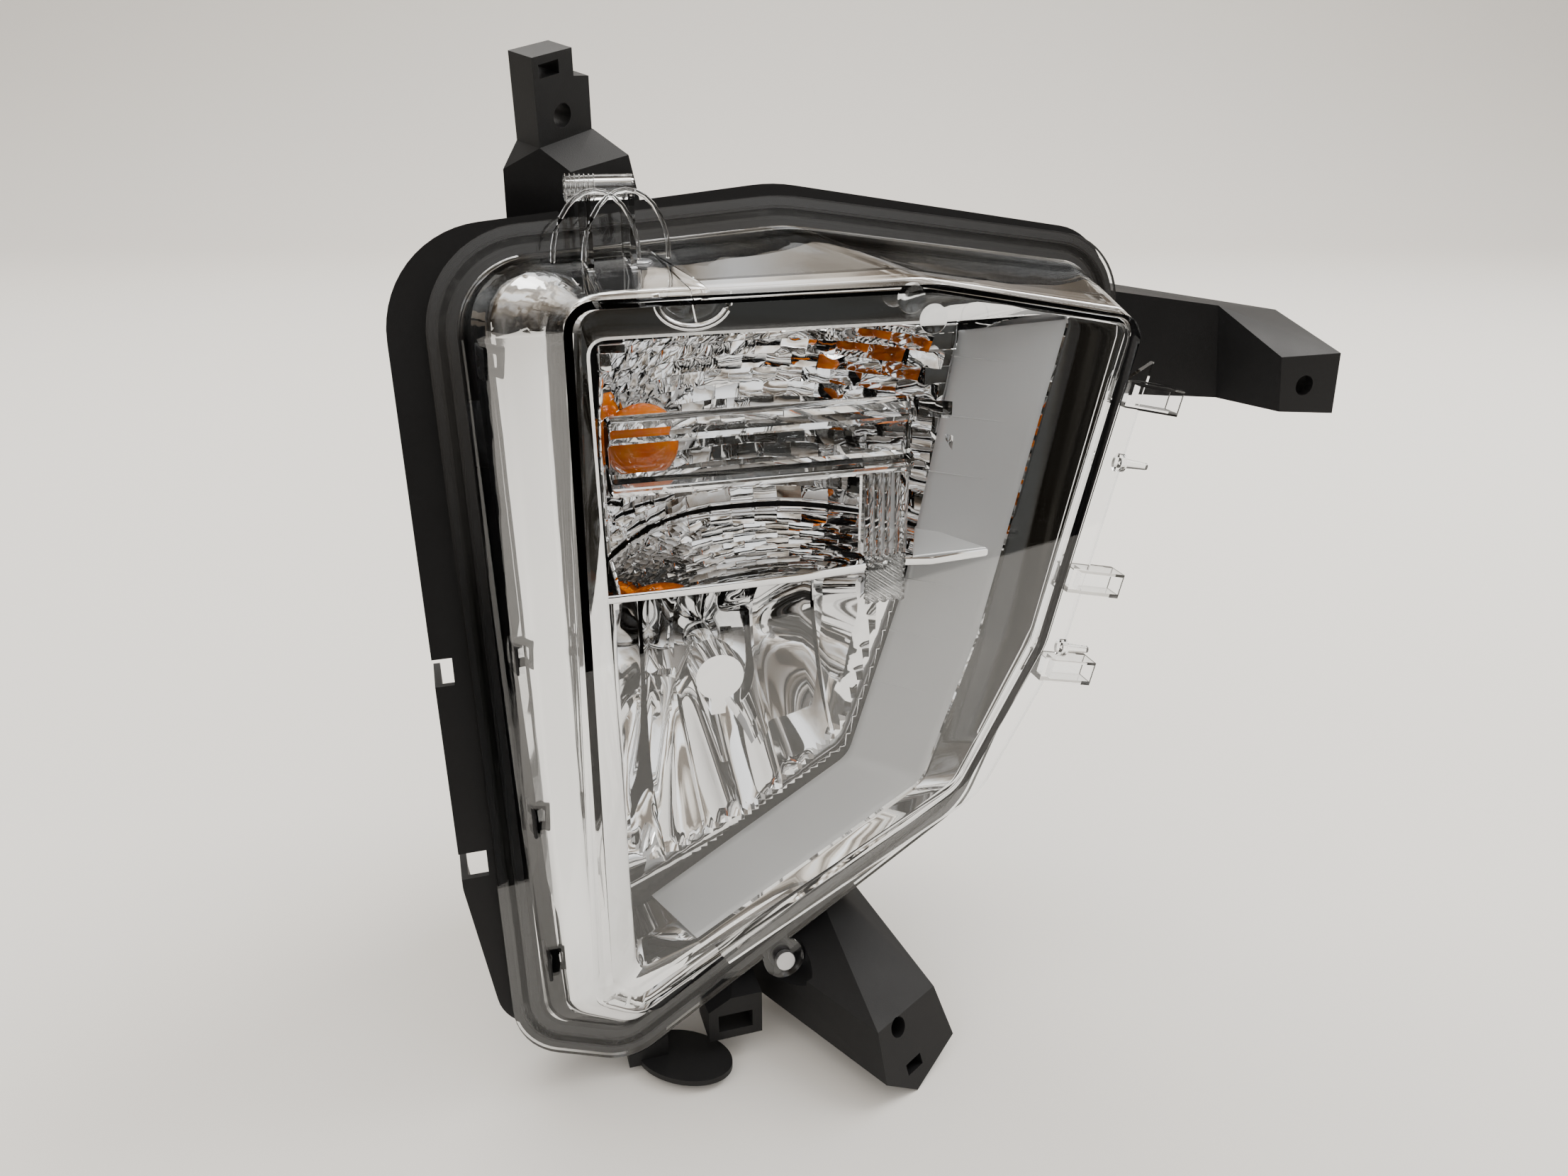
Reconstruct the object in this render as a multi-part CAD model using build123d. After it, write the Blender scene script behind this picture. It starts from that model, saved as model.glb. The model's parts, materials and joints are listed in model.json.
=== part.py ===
from build123d import *
import itertools
import math
import os

# Car headlight, left side of the grille to the wing, as one lamp unit.
# +X runs to the right as the lit face is seen, +Y to the rear of the car, +Z up.
# Positions are measured from a point on the lens face.  At export everything moves so
# that the origin is the centre of the bolt hole in the upper tab.

# ---------------------------------------------------------------- driving sizes, mm
FACE_WIDTH = 200.0            # lens face, left edge to upper right corner
FACE_HEIGHT = 266.0           # lens face, top edge to lower tip
FACE_TOP = 99.0               # top edge of the face above the blade, before stretching
HOUSING_DEPTH = 150.0         # lens face to the outside of the housing's back wall
FLANGE_DEPTH = 50.0           # lens face to the joint plane, at the height of the divider
FLANGE_SLOPE = 0.2            # how far the joint plane runs back for each mm of height

LENS_WALL = 3.0
LENS_FLANGE_WIDTH = 9.0
LENS_FLANGE_THICKNESS = 3.0
TONGUE_OFFSET = 2.5           # lens wall to the inner face of the sealing tongue
TONGUE_THICKNESS = 2.5
TONGUE_LENGTH = 6.0
SKIRT_FRONT = 4.0             # lens face to the front of the side skirt
SKIRT_WIDTH = 11.0
SKIRT_THICKNESS = 2.2
CLIP_SOCKET_SIZE = 9.5
CLIP_SOCKET_LENGTH = 22.0
CLIP_SOCKET_WALL = 1.3
PIN_DIAMETER = 4.0
PIN_TIP_DIAMETER = 2.7
PIN_LENGTH = 12.0
LOCATING_TUBE_DIAMETER = 8.0
LOCATING_TUBE_BORE = 4.2
LOCATING_TUBE_LENGTH = 22.0
WEB_THICKNESS = 2.0
EAR_DIAMETER = 17.0
EAR_HOLE_DIAMETER = 4.6
EAR_CLEARANCE = 2.0           # extra diameter cut from the housing for the ear

HOUSING_WALL = 2.5
CHANNEL_DEPTH = 9.0
CHANNEL_WALL = 2.2
CHANNEL_SIDE_GAP = 1.0        # sealing bead on each side of the tongue
CHANNEL_TOP_GAP = 0.3
WING_THICKNESS = 2.5
WING_SETBACK = 4.0
WING_RETURN = 20.0

TAB_WIDTH = 21.0
TAB_THICKNESS = 11.0
MOUNT_HOLE_DIAMETER = 8.0
TAB_SLOT_WIDTH = 9.0
TAB_SLOT_HEIGHT = 4.5
ARM_PLATE = 4.0               # wall that carries the bolt at the end of each arm

LENS_SCREW_DIAMETER = 4.0
LENS_SCREW_HEAD_DIAMETER = 8.0
LENS_SCREW_LENGTH = 11.0
EAR_BOSS_DIAMETER = 11.0
EAR_BOSS_LENGTH = 14.0

BEZEL_WALL = 2.0
BEZEL_FRONT = 9.0             # lens face to the front of the bezel
BEZEL_GAP = 7.0               # bezel to the inside of the lens wall
TUNNEL_BACK = 42.0            # lens face to the rear edge of the bezel's opening
BEZEL_SCREW_DIAMETER = 4.0
BEZEL_SCREW_HEAD_DIAMETER = 9.0
BEZEL_SCREW_PLACES = ((-38, 7), (30, 11))   # across, and below the top edge of the face
BEZEL_SCREW_DEPTH = 58.0
BEZEL_SCREW_LENGTH = 20.0
TRIM_THICKNESS = 1.8
TRIM_RIB_HEIGHT = 0.8
TRIM_RIB_PITCH = 21.5
PIECE_GAP = 0.3               # between neighbouring pieces that are not a fit

BLADE_THICKNESS = 3.0
BLADE_FRONT = 10.0
GUIDE_FRONT = 14.0
GUIDE_THICKNESS = 9.0

REFLECTOR_WALL = 2.0
TURN_REFLECTOR_FRONT = 44.5
TURN_REFLECTOR_BACK = 84.0
TURN_BULB_DIAMETER = 26.5
TURN_BULB_NECK_DIAMETER = 15.0
TURN_BULB_BASE_LENGTH = 15.0
TURN_SOCKET_DIAMETER = 24.0
TURN_SOCKET_LENGTH = 52.0
TURN_SOCKET_CAP_DIAMETER = 34.0
TURN_AXIS_ANGLE = 25.0        # bulb axis, turned from the side towards the rear

MAIN_REFLECTOR_FRONT = 52.0
MAIN_REFLECTOR_BACK = 112.0
MAIN_BULB_DIAMETER = 13.0
MAIN_BULB_GLASS_LENGTH = 46.0
MAIN_BULB_FLANGE_DIAMETER = 42.0
MAIN_BULB_FLANGE_THICKNESS = 3.0
MAIN_BULB_BORE = 24.0
TERMINAL_WIDTH = 7.8
TERMINAL_THICKNESS = 0.8
TERMINAL_LENGTH = 12.0
SHIELD_DIAMETER = 20.0
SHIELD_LENGTH = 16.0
SPRING_WIRE = 1.4
SPRING_SPAN = 30.0
SPRING_REACH = 44.0

POSITION_BULB_DIAMETER = 10.0
POSITION_SOCKET_DIAMETER = 14.0
POSITION_SOCKET_LENGTH = 22.0

CAP_OPENING_DIAMETER = 76.0
COLLAR_WALL = 4.0
COLLAR_HEIGHT = 12.0
CAP_WALL = 2.4
CAP_TAB_HEIGHT = 3.0
CAP_TAB_ANGLE = 30.0
CAP_RUNNING_GAP = 0.4

PIVOT_HEIGHT = -10.0          # tilt axis, above the bulb
PIVOT_DEPTH = 95.0
PIVOT_SPREAD = 48.0           # each ball from the middle of the lamp
BALL_DIAMETER = 8.0
BALL_SOCKET_DIAMETER = 13.0
BALL_GAP = 0.3
AIM_BALL_GAP = 0.6            # leaves room for the swing of the aimed bowl
STUD_DIAMETER = 5.0
POST_DIAMETER = 12.0
SCREW_DIAMETER = 6.0
SCREW_HEAD_DIAMETER = 16.0
AIM_BALL_DEPTH = 104.0
AIM_NUT_LENGTH = 15.0
AIM_HEIGHT = -126.0
AIM_SIDE = -40.0

HEADER_WIDTH = 32.0
HEADER_HEIGHT = 20.0
HEADER_LENGTH = 18.0
HEADER_WALL = 2.0
HEADER_PINS = 6
HEADER_PIN_DIAMETER = 1.6
HEADER_PIN_PITCH = 7.0
HEADER_ROW_OFFSET = 3.5
VENT_DIAMETER = 9.0
VENT_CAP_DIAMETER = 14.0

# ------------------------------------------------------------ outlines, front view
# Corner points and radii, clockwise from the upper left, drawn for a face that is
# 200 wide and 266 tall and stretched with it.
WIDE = FACE_WIDTH / 200.0
TALL = FACE_HEIGHT / 266.0


def spot(x, z):
    """A place in the front view that moves with the size of the face."""
    return x * WIDE, z * TALL


def shape(*corners):
    """An outline as (points, radii)."""
    return [spot(x, z) for x, z, _ in corners], [radius for _, _, radius in corners]


FACE = shape(
    (-68, 99, 10), (52, 99, 40), (130, 84, 9), (103, -36, 24),
    (74, -92, 20), (-58, -167, 9), (-70, -158, 7),
)
WALL_ROOT = shape(
    (-98, 103, 28), (20, 112, 60), (152, 93, 16), (112, -50, 34),
    (78, -112, 26), (-62, -190, 14), (-95, -178, 14),
)
BACK = shape(
    (-84, 86, 24), (18, 96, 60), (128, 80, 18), (96, -48, 30),
    (66, -96, 26), (-42, -146, 14), (-74, -146, 14),
)
WING = shape(
    (-120, 112, 38), (20, 126, 60), (160, 104, 22), (121, -52, 30), (84, -120, 26),
    (-60, -201, 20), (-108, -174, 16), (-117, -120, 20),
)
OPENING = shape(
    (-60, 86, 6), (109, 85, 5), (84, -36, 24), (62, -98, 14), (-32, -148, 5), (-57, -156, 5),
)
INNER_OPENING = shape(
    (-54, 77, 6), (80, 78, 5), (61, -26, 24), (40, -96, 14), (-44, -148, 5), (-53, -152, 4),
)
TURN_FRONT = shape((-51, 75, 8), (77, 76, 5), (62, 7, 5), (-51, 7, 5))
TURN_BACK = shape((-44, 64, 8), (54, 64, 5), (46, 20, 5), (-44, 20, 5))
MAIN_FRONT = shape(
    (-50, -8, 8), (60, -8, 8), (58, -28, 20), (38, -97, 18), (-42, -146, 5), (-50, -149, 4),
)
MAIN_BACK = shape(
    (-38, -24, 8), (40, -24, 8), (39, -42, 14), (22, -92, 14), (-32, -104, 5), (-38, -106, 4),
)

BULB_SPOT = spot(-8, -64)
TURN_SPOT = spot(-36, 40)
TURN_BULB_DEPTH = 56.0
POSITION_SPOT = spot(29, -37)
AIM_SPOT = spot(AIM_SIDE, AIM_HEIGHT)
HEADER_SPOT = spot(66, 42)
VENT_SPOTS = (spot(100, 62), spot(58, -66))
EAR_SPOT = spot(4, -170)
TRIM_RIB_LEVELS = [66.0 - TRIM_RIB_PITCH * index for index in range(7)]

# ------------------------------------------------------------------- basic shapes
TINY = 1e-5


def front_plane(depth):
    """Upright plane across the lamp at a depth behind the lens face; it faces forward."""
    return Plane(origin=(0, depth, 0), x_dir=(1, 0, 0), z_dir=(0, -1, 0))


LEAN = math.atan(FLANGE_SLOPE)
JOINT = Plane(
    origin=(0, FLANGE_DEPTH, 0), x_dir=(1, 0, 0), z_dir=(0, -math.cos(LEAN), math.sin(LEAN))
)


def joint_depth(height):
    """Depth of the joint plane at a height."""
    return FLANGE_DEPTH + FLANGE_SLOPE * height


def grown(points, amount):
    """Corners of a clockwise outline moved outwards by amount."""
    moved = []
    for index, point in enumerate(points):
        here = Vector(*point)
        before = here - Vector(*points[index - 1])
        after = Vector(*points[(index + 1) % len(points)]) - here
        first = before.normalized().rotate(Axis.Z, 90)
        second = after.normalized().rotate(Axis.Z, 90)
        moved.append(here + (first + second) * (amount / (1 + first.dot(second))))
    return moved


def outline(plane, form, grow=0.0):
    """Face of a rounded outline on a plane, grown outwards or, if negative, inwards."""
    points, radii = form
    upright = plane.y_dir.Z
    corners = [plane.from_local_coords((p.X, p.Y / upright)) for p in grown(points, grow)]
    rounds = [max(radius + grow, 0.6) for radius in radii]
    return make_face(FilletPolyline(*corners, radius=rounds, close=True))


def funnel(front, back):
    """Solid between two outlines that have the same number of corners."""
    return loft([front, back], ruled=True)


def slab(plane, form, grow, start, end):
    """Outline made solid from start to end, both measured behind the plane."""
    face = outline(plane.offset(-start), form, grow)
    return extrude(face, amount=end - start, dir=-plane.z_dir)


def rod(plane_or_spot, diameter, start, end):
    """Round rod along the depth of the lamp at a place in the front view."""
    x, z = plane_or_spot
    place = Plane(origin=(x, start, z), z_dir=(0, 1, 0))
    return extrude(place * Circle(diameter / 2), amount=end - start)


def along(plane, diameter, start, end):
    """Round rod along a plane's normal, from start to end."""
    return extrude(plane.offset(start) * Circle(diameter / 2), amount=end - start)


def block(x, y, z):
    """Box from its limits along each axis."""
    return Pos(sum(x) / 2, sum(y) / 2, sum(z) / 2) * Box(x[1] - x[0], y[1] - y[0], z[1] - z[0])


def hull(points):
    """Convex solid round a few points."""
    points = [Vector(*point) for point in points]
    sides = {}
    for a, b, c in itertools.combinations(points, 3):
        normal = (b - a).cross(c - a)
        if normal.length < TINY:
            continue
        normal = normal.normalized()
        heights = [(point - a).dot(normal) for point in points]
        if min(heights) < -TINY and max(heights) > TINY:
            continue
        if max(heights) > TINY:
            normal = -normal
        key = tuple(round(value, 4) + 0.0 for value in (*normal, normal.dot(a)))
        sides[key] = normal, [p for p, height in zip(points, heights) if abs(height) <= TINY]
    faces = []
    for normal, corners in sides.values():
        plane = Plane(origin=sum(corners, Vector()) / len(corners), z_dir=normal)
        local = [plane.to_local_coords(corner) for corner in corners]
        order = sorted(range(len(corners)), key=lambda i: math.atan2(local[i].Y, local[i].X))
        faces.append(make_face(Polyline(*[corners[i] for i in order], close=True)).faces()[0])
    return Solid(Shell(faces))


def beam(*sections):
    """Solid skinned straight between sections given by their corner points."""
    return sum_of([hull(list(a) + list(b)) for a, b in zip(sections, sections[1:])])


def sum_of(pieces):
    """All pieces joined."""
    whole = pieces[0]
    for piece in pieces[1:]:
        whole = whole + piece
    return whole


# ------------------------------------------------------------------ mounting places


def carried(x, z):
    """How far a place of the front view moves when the face is not 200 by 266."""
    return Vector((WIDE - 1) * x, 0, (TALL - 1) * z)


TAB_SHIFT = carried(-70, 103)
UPPER_ARM_SHIFT = carried(150, 60)
LOWER_ARM_SHIFT = carried(-10, -170)
TIP_SHIFT = carried(-60, -190)
TAB_PLANE = Plane(
    origin=Vector(-54, 80, 148) + TAB_SHIFT, x_dir=(0.80, 0.56, 0.22), z_dir=(0.60, -0.77, -0.22)
)
UPPER_ARM_END = Plane(
    origin=Vector(226, 30, 47.5) + UPPER_ARM_SHIFT, x_dir=(1, 0, 0), z_dir=(0, -1, 0)
)
LOWER_ARM_END = Plane(
    origin=Vector(39, -25, -181) + LOWER_ARM_SHIFT, x_dir=(0.86, 0.51, 0), z_dir=(0.47, -0.80, 0.36)
)
DATUM = TAB_PLANE.origin


def placed(shift, *points):
    """Points moved with the place of the face that their piece is rooted at."""
    return [Vector(*point) + shift for point in points]


def in_plane(plane, depth, *points):
    """Points given in a plane's own directions, at a height along its normal."""
    return [plane.from_local_coords((x, y, depth)) for x, y in points]


def upper_tab():
    """Upper tab: a stepped plate with bolt hole and slot, on a box foot."""
    plate_edge = Polyline(
        (-11.5, 21), (6.5, 20.5), (6.5, 11.5), (13.5, 10), (13.5, -10), (-11.5, -10), close=True
    )
    plate = extrude(TAB_PLANE * make_face(plate_edge), amount=-TAB_THICKNESS)
    top = in_plane(TAB_PLANE, 0, (-11.5, -8), (14, -8))
    shelf = beam(
        top[::-1] + in_plane(TAB_PLANE, -TAB_THICKNESS, (-11.5, -8), (14, -8)),
        in_plane(TAB_PLANE, 11, (20, -16), (-8.5, -14))
        + in_plane(TAB_PLANE, -TAB_THICKNESS, (-19, -16), (20, -16)),
        in_plane(TAB_PLANE, 12, (24, -34), (-9, -34))
        + in_plane(TAB_PLANE, -TAB_THICKNESS, (-20, -36), (24, -36)),
        placed(TAB_SHIFT, (-34, 104, 98), (-66, 66, 98), (-86, 78, 94), (-60, 112, 94)),
    )
    tab = plate + shelf
    tab -= along(TAB_PLANE, MOUNT_HOLE_DIAMETER, -TAB_THICKNESS, TAB_THICKNESS)
    slot = Pos(-4.5, 16, -TAB_THICKNESS / 2) * Box(TAB_SLOT_WIDTH, TAB_SLOT_HEIGHT, 2 * TAB_THICKNESS)
    return tab - TAB_PLANE * slot


def upper_arm():
    """Side arm: a tapering box beam, open to the rear, that ends in an upright bolt face."""
    end = in_plane(UPPER_ARM_END, 0, (-13, 12), (15, 12), (16, -12.5), (-10, -10))
    shift = UPPER_ARM_SHIFT
    bend = placed(shift, (200, 56, 76), (236, 66, 71), (238, 66, 36), (205, 56, 38))
    root = placed(shift, (142, 74, 84), (146, 116, 84), (136, 112, 42), (136, 74, 42))
    arm = beam(end, bend, root)
    arm -= along(UPPER_ARM_END, MOUNT_HOLE_DIAMETER, -ARM_PLATE, ARM_PLATE)
    return arm - block((217, 236), (30 + ARM_PLATE, 90), (40, 55)).moved(Pos(shift))


def lower_arm():
    """Lower arm: a box beam that runs forward under the lens to a leaning bolt face."""
    end = in_plane(LOWER_ARM_END, 0, (-11, 4), (25, 3.5), (28.5, -20), (1, -28), (-14, -16.5))
    root = placed(
        LOWER_ARM_SHIFT,
        (-12, 36, -168), (24, 46, -150), (40, 60, -158), (10, 46, -196), (-10, 34, -192),
    )
    arm = beam(end, root)
    arm -= along(LOWER_ARM_END, MOUNT_HOLE_DIAMETER, -2 * ARM_PLATE, ARM_PLATE)
    slot = Pos(3, -18, -ARM_PLATE) * Box(TAB_SLOT_WIDTH, TAB_SLOT_HEIGHT, 3 * ARM_PLATE)
    return arm - LOWER_ARM_END * slot


def foot():
    """Spoon-shaped foot under the lower tip, on a short neck."""
    blade = extrude(
        Plane.XY.offset(-204) * Pos(-40, 6) * Ellipse(20, 13, rotation=-35), amount=2.5
    )
    neck = block((-62, -46), (8, 22), (-204, -186))
    return (blade + neck).moved(Pos(TIP_SHIFT))


def clip_loop():
    """Loop at the lower right of the tip that catches the lens."""
    loop = block((-30, -8), (4, 22), (-196, -176)) - block((-26, -12), (0, 30), (-192, -184))
    return loop.moved(Pos(TIP_SHIFT))


# ---------------------------------------------------------------------- rear housing


GROOVE_INNER = TONGUE_OFFSET - CHANNEL_SIDE_GAP
GROOVE_OUTER = TONGUE_OFFSET + TONGUE_THICKNESS + CHANNEL_SIDE_GAP


def channel():
    """Rim round the mouth; the groove for the lens tongue and sealing bead is cut into it."""
    outside = GROOVE_OUTER + CHANNEL_WALL
    return slab(JOINT, WALL_ROOT, outside, CHANNEL_TOP_GAP, CHANNEL_DEPTH + CHANNEL_WALL)


def groove():
    """Space of the channel, between its two walls."""
    return slab(JOINT, WALL_ROOT, GROOVE_OUTER, 0, CHANNEL_DEPTH) - slab(
        JOINT, WALL_ROOT, GROOVE_INNER, 0, CHANNEL_DEPTH
    )


def wing():
    """Curved outer wing: a flat rim and a wall that returns to the rear, with two notches."""
    wing_end = WING_SETBACK + WING_RETURN
    rim = slab(JOINT, WING, 0, WING_SETBACK, wing_end)
    rim -= slab(JOINT, WING, -WING_THICKNESS, WING_SETBACK + WING_THICKNESS, wing_end)
    for x, z in (spot(-120, -38), spot(-116, -112)):
        y = joint_depth(z)
        rim -= block((x - 6, x + 9), (y - 30, y + 40), (z - 5, z + 5))
    return rim


def mouth_space():
    """Space inside the housing, from the mouth to the inside of the back wall."""
    return funnel(
        outline(JOINT, WALL_ROOT, -CHANNEL_WALL / 2),
        outline(front_plane(HOUSING_DEPTH - HOUSING_WALL), BACK, -HOUSING_WALL),
    )


def cap_lugs(inner, outer, start, end, turn):
    """Three bayonet lugs in a ring about the cap axis."""
    x, z = BULB_SPOT
    lugs = []
    for index in range(3):
        reach = 2 * outer
        spread = reach * math.tan(math.radians(CAP_TAB_ANGLE / 2))
        sector = make_face(Polyline((0, 0), (reach, -spread), (reach, spread), close=True))
        band = (Circle(outer) - Circle(inner)) & (Rot(0, 0, 120 * index + turn) * sector)
        place = Plane(origin=(x, start, z), x_dir=(1, 0, 0), z_dir=(0, 1, 0))
        lugs.append(extrude(place * band, amount=end - start))
    return lugs


def cap_collar():
    """Bayonet collar round the bulb opening."""
    inner = CAP_OPENING_DIAMETER / 2
    outer = inner + COLLAR_WALL
    tabs_at = HOUSING_DEPTH + COLLAR_HEIGHT - 2 * CAP_TAB_HEIGHT
    collar = rod(BULB_SPOT, 2 * outer, HOUSING_DEPTH - HOUSING_WALL, HOUSING_DEPTH + COLLAR_HEIGHT)
    tabs = cap_lugs(inner, outer + CAP_TAB_HEIGHT, tabs_at, tabs_at + CAP_TAB_HEIGHT, 90)
    return sum_of([collar] + tabs)


def turn_plane():
    """Axis of the turn bulb, from the middle of its glass out through the housing's side."""
    turn = math.radians(TURN_AXIS_ANGLE)
    x, z = TURN_SPOT
    return Plane(origin=(x, TURN_BULB_DEPTH, z), x_dir=(0, 0, 1),
                 z_dir=(-math.cos(turn), math.sin(turn), 0))


TURN_PLANE = turn_plane()
TURN_NECK = TURN_BULB_DIAMETER / 2 + 5
TURN_SOCKET_START = TURN_NECK + 5
TURN_SOCKET_END = TURN_SOCKET_START + TURN_SOCKET_LENGTH
TURN_COLLAR_START = TURN_SOCKET_END - 24
TURN_COLLAR_END = TURN_SOCKET_END - 6


def rear_housing():
    """Rear housing with its channel, wing, tab, arms, foot and bosses, moulded as one."""
    space = mouth_space()
    wall = funnel(
        outline(JOINT, WALL_ROOT, TONGUE_OFFSET),
        outline(front_plane(HOUSING_DEPTH), BACK),
    )
    body = channel() + wing() + wall + upper_tab() + upper_arm() + lower_arm() + foot()
    body += clip_loop()
    turn_collar = along(TURN_PLANE, TURN_SOCKET_CAP_DIAMETER, TURN_COLLAR_START, TURN_COLLAR_END)
    ear_boss = along(JOINT, EAR_BOSS_DIAMETER, -EAR_BOSS_LENGTH, -CHANNEL_TOP_GAP)
    body += turn_collar + ear_boss.moved(Pos(ear_place()))
    body -= space
    body -= groove()
    body -= slab(JOINT, WALL_ROOT, LENS_FLANGE_WIDTH + 2 * PIECE_GAP, -30, CHANNEL_TOP_GAP)
    ear_room = along(JOINT, EAR_DIAMETER + EAR_CLEARANCE, -CHANNEL_TOP_GAP, EAR_BOSS_LENGTH)
    body -= ear_room.moved(Pos(ear_place()))
    body += cap_collar()
    for x, z in pivot_spots():
        body += rod((x, z), POST_DIAMETER, PIVOT_DEPTH + 24, HOUSING_DEPTH - HOUSING_WALL / 2)
    body += rod(AIM_SPOT, POST_DIAMETER + 4, HOUSING_DEPTH - 14, HOUSING_DEPTH + 3)
    for place in VENT_SPOTS:
        body += rod(place, VENT_DIAMETER, HOUSING_DEPTH - HOUSING_WALL, HOUSING_DEPTH + 12)
        body -= rod(place, VENT_DIAMETER - 4, HOUSING_DEPTH - 20, HOUSING_DEPTH + 12)
    body -= rod(BULB_SPOT, CAP_OPENING_DIAMETER, HOUSING_DEPTH - 20, HOUSING_DEPTH + 30)
    body -= along(TURN_PLANE, TURN_SOCKET_DIAMETER + 2 * PIECE_GAP, 30, TURN_COLLAR_END)
    body -= along(TURN_PLANE, TURN_SOCKET_CAP_DIAMETER + 3, TURN_COLLAR_END, TURN_COLLAR_END + 40)
    body -= rod(AIM_SPOT, SCREW_DIAMETER + 2 * PIECE_GAP, HOUSING_DEPTH - 20, HOUSING_DEPTH + 9)
    for x, z in pivot_spots():
        body -= rod((x, z), STUD_DIAMETER, PIVOT_DEPTH + 20, PIVOT_DEPTH + 40)
    screw_hole = along(JOINT, LENS_SCREW_DIAMETER + 0.1, -EAR_BOSS_LENGTH, 1)
    body -= screw_hole.moved(Pos(ear_place()))
    body -= header_hole()
    return body


def ear_place():
    """Move from the joint plane's own origin to the screw ear."""
    x, z = EAR_SPOT
    return (x, FLANGE_SLOPE * z, z)


def pivot_spots():
    """Places of the two fixed pivots."""
    middle = BULB_SPOT[0]
    return [(middle + side * PIVOT_SPREAD * WIDE, PIVOT_HEIGHT * TALL) for side in (-1, 1)]


def header_hole():
    """Opening in the back wall for the connector header."""
    x, z = HEADER_SPOT
    w, h = HEADER_WIDTH / 2 - HEADER_WALL, HEADER_HEIGHT / 2 - HEADER_WALL
    return block((x - w, x + w), (HOUSING_DEPTH - 9, HOUSING_DEPTH + 9), (z - h, z + h))


# ------------------------------------------------------------------------- outer lens


def lens_space():
    """Space behind the lens face, inside its walls."""
    return funnel(
        outline(front_plane(LENS_WALL), FACE, -LENS_WALL), outline(JOINT, WALL_ROOT, -LENS_WALL)
    )


def skirt():
    """Flat skirt along the right side and the lower diagonal."""
    plate = slab(front_plane(SKIRT_FRONT), FACE, SKIRT_WIDTH, 0, SKIRT_THICKNESS)
    corners = ((124, 60), (170, 86), (170, -60), (100, -130), (-10, -180), (-26, -150))
    keep = Polyline(*[spot(x, z) for x, z in corners], close=True)
    area = extrude(front_plane(-20) * make_face(keep), amount=60, dir=(0, 1, 0))
    return plate & area


def edge_place(share, depth, stand):
    """Plane on the skirt's outer edge, at a share of the right side from the top, facing out."""
    top, bottom = (Vector(*FACE[0][2]), Vector(*FACE[0][3]))
    along_edge = (bottom - top).normalized()
    outwards = along_edge.rotate(Axis.Z, 90)
    place = top + (bottom - top) * share + outwards * stand
    return Plane(origin=(place.X, depth, place.Y), x_dir=(0, 1, 0), z_dir=(outwards.X, 0, outwards.Y))


CLIP_SOCKET_SHARES = (0.22, 0.80, 1.10)
PIN_SHARES = (0.42, 1.02)


def clip_sockets():
    """Three square sockets that stand out from the skirt."""
    half = CLIP_SOCKET_SIZE / 2
    sockets = []
    for share in CLIP_SOCKET_SHARES:
        place = edge_place(share, SKIRT_FRONT + half, SKIRT_WIDTH / 2)
        middle = CLIP_SOCKET_LENGTH / 2
        outside = Pos(0, 0, middle) * Box(CLIP_SOCKET_SIZE, CLIP_SOCKET_SIZE, CLIP_SOCKET_LENGTH)
        bore = CLIP_SOCKET_SIZE - 2 * CLIP_SOCKET_WALL
        inside = Pos(0, 0, middle + 4) * Box(bore, bore, CLIP_SOCKET_LENGTH)
        sockets.append(place * (outside - inside))
    return sockets


def locating_pins():
    """Two tapered pins with a ring at the foot."""
    pins = []
    for share in PIN_SHARES:
        place = edge_place(share, SKIRT_FRONT + SKIRT_THICKNESS / 2, SKIRT_WIDTH - 1)
        taper = loft([place * Circle(PIN_DIAMETER / 2),
                      place.offset(PIN_LENGTH) * Circle(PIN_TIP_DIAMETER / 2)])
        pins.append(taper + along(place, PIN_DIAMETER + 3, -1, 1.5))
    return pins


def locating_tube():
    """Ribbed tube above the upper left corner, on two webs from the lens wall."""
    x, z = spot(-48, 127)
    place = Plane(origin=(x, 48, z), z_dir=(-1, 0, 0))
    half = LOCATING_TUBE_LENGTH / 2
    tube = along(place, LOCATING_TUBE_DIAMETER, -half, half)
    webs = [
        block((x + shift, x + shift + WEB_THICKNESS), (40, 56), (z - 28, z))
        for shift in (-6, 8)
    ]
    return sum_of([tube] + webs) - along(place, LOCATING_TUBE_BORE, -half, half)


def ear():
    """Screw ear on the lens flange."""
    disc = along(JOINT, EAR_DIAMETER, 0, LENS_FLANGE_THICKNESS)
    hole = along(JOINT, EAR_HOLE_DIAMETER, -1, LENS_FLANGE_THICKNESS + 1)
    return [piece.moved(Pos(ear_place())) for piece in (disc, hole)]


def outer_lens():
    """Clear outer lens with flange, tongue, skirt, sockets, pins, tube and ear."""
    disc, hole = ear()
    body = funnel(outline(front_plane(0), FACE), outline(JOINT, WALL_ROOT))
    body += slab(JOINT, WALL_ROOT, LENS_FLANGE_WIDTH, -LENS_FLANGE_THICKNESS, 0)
    body += skirt() + disc + locating_tube()
    body -= lens_space()
    tongue = slab(JOINT, WALL_ROOT, TONGUE_OFFSET + TONGUE_THICKNESS, 0, TONGUE_LENGTH)
    body += tongue - slab(JOINT, WALL_ROOT, TONGUE_OFFSET, -1, TONGUE_LENGTH)
    body += sum_of(clip_sockets() + locating_pins())
    return body - hole


def lens_seal():
    """Sealing bead that fills the channel round the lens tongue."""
    bead = slab(JOINT, WALL_ROOT, GROOVE_OUTER, 2, CHANNEL_DEPTH)
    bead -= slab(JOINT, WALL_ROOT, GROOVE_INNER, 2, CHANNEL_DEPTH)
    tongue = slab(JOINT, WALL_ROOT, TONGUE_OFFSET + TONGUE_THICKNESS, 0, TONGUE_LENGTH)
    return bead - (tongue - slab(JOINT, WALL_ROOT, TONGUE_OFFSET, -1, TONGUE_LENGTH))


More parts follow.
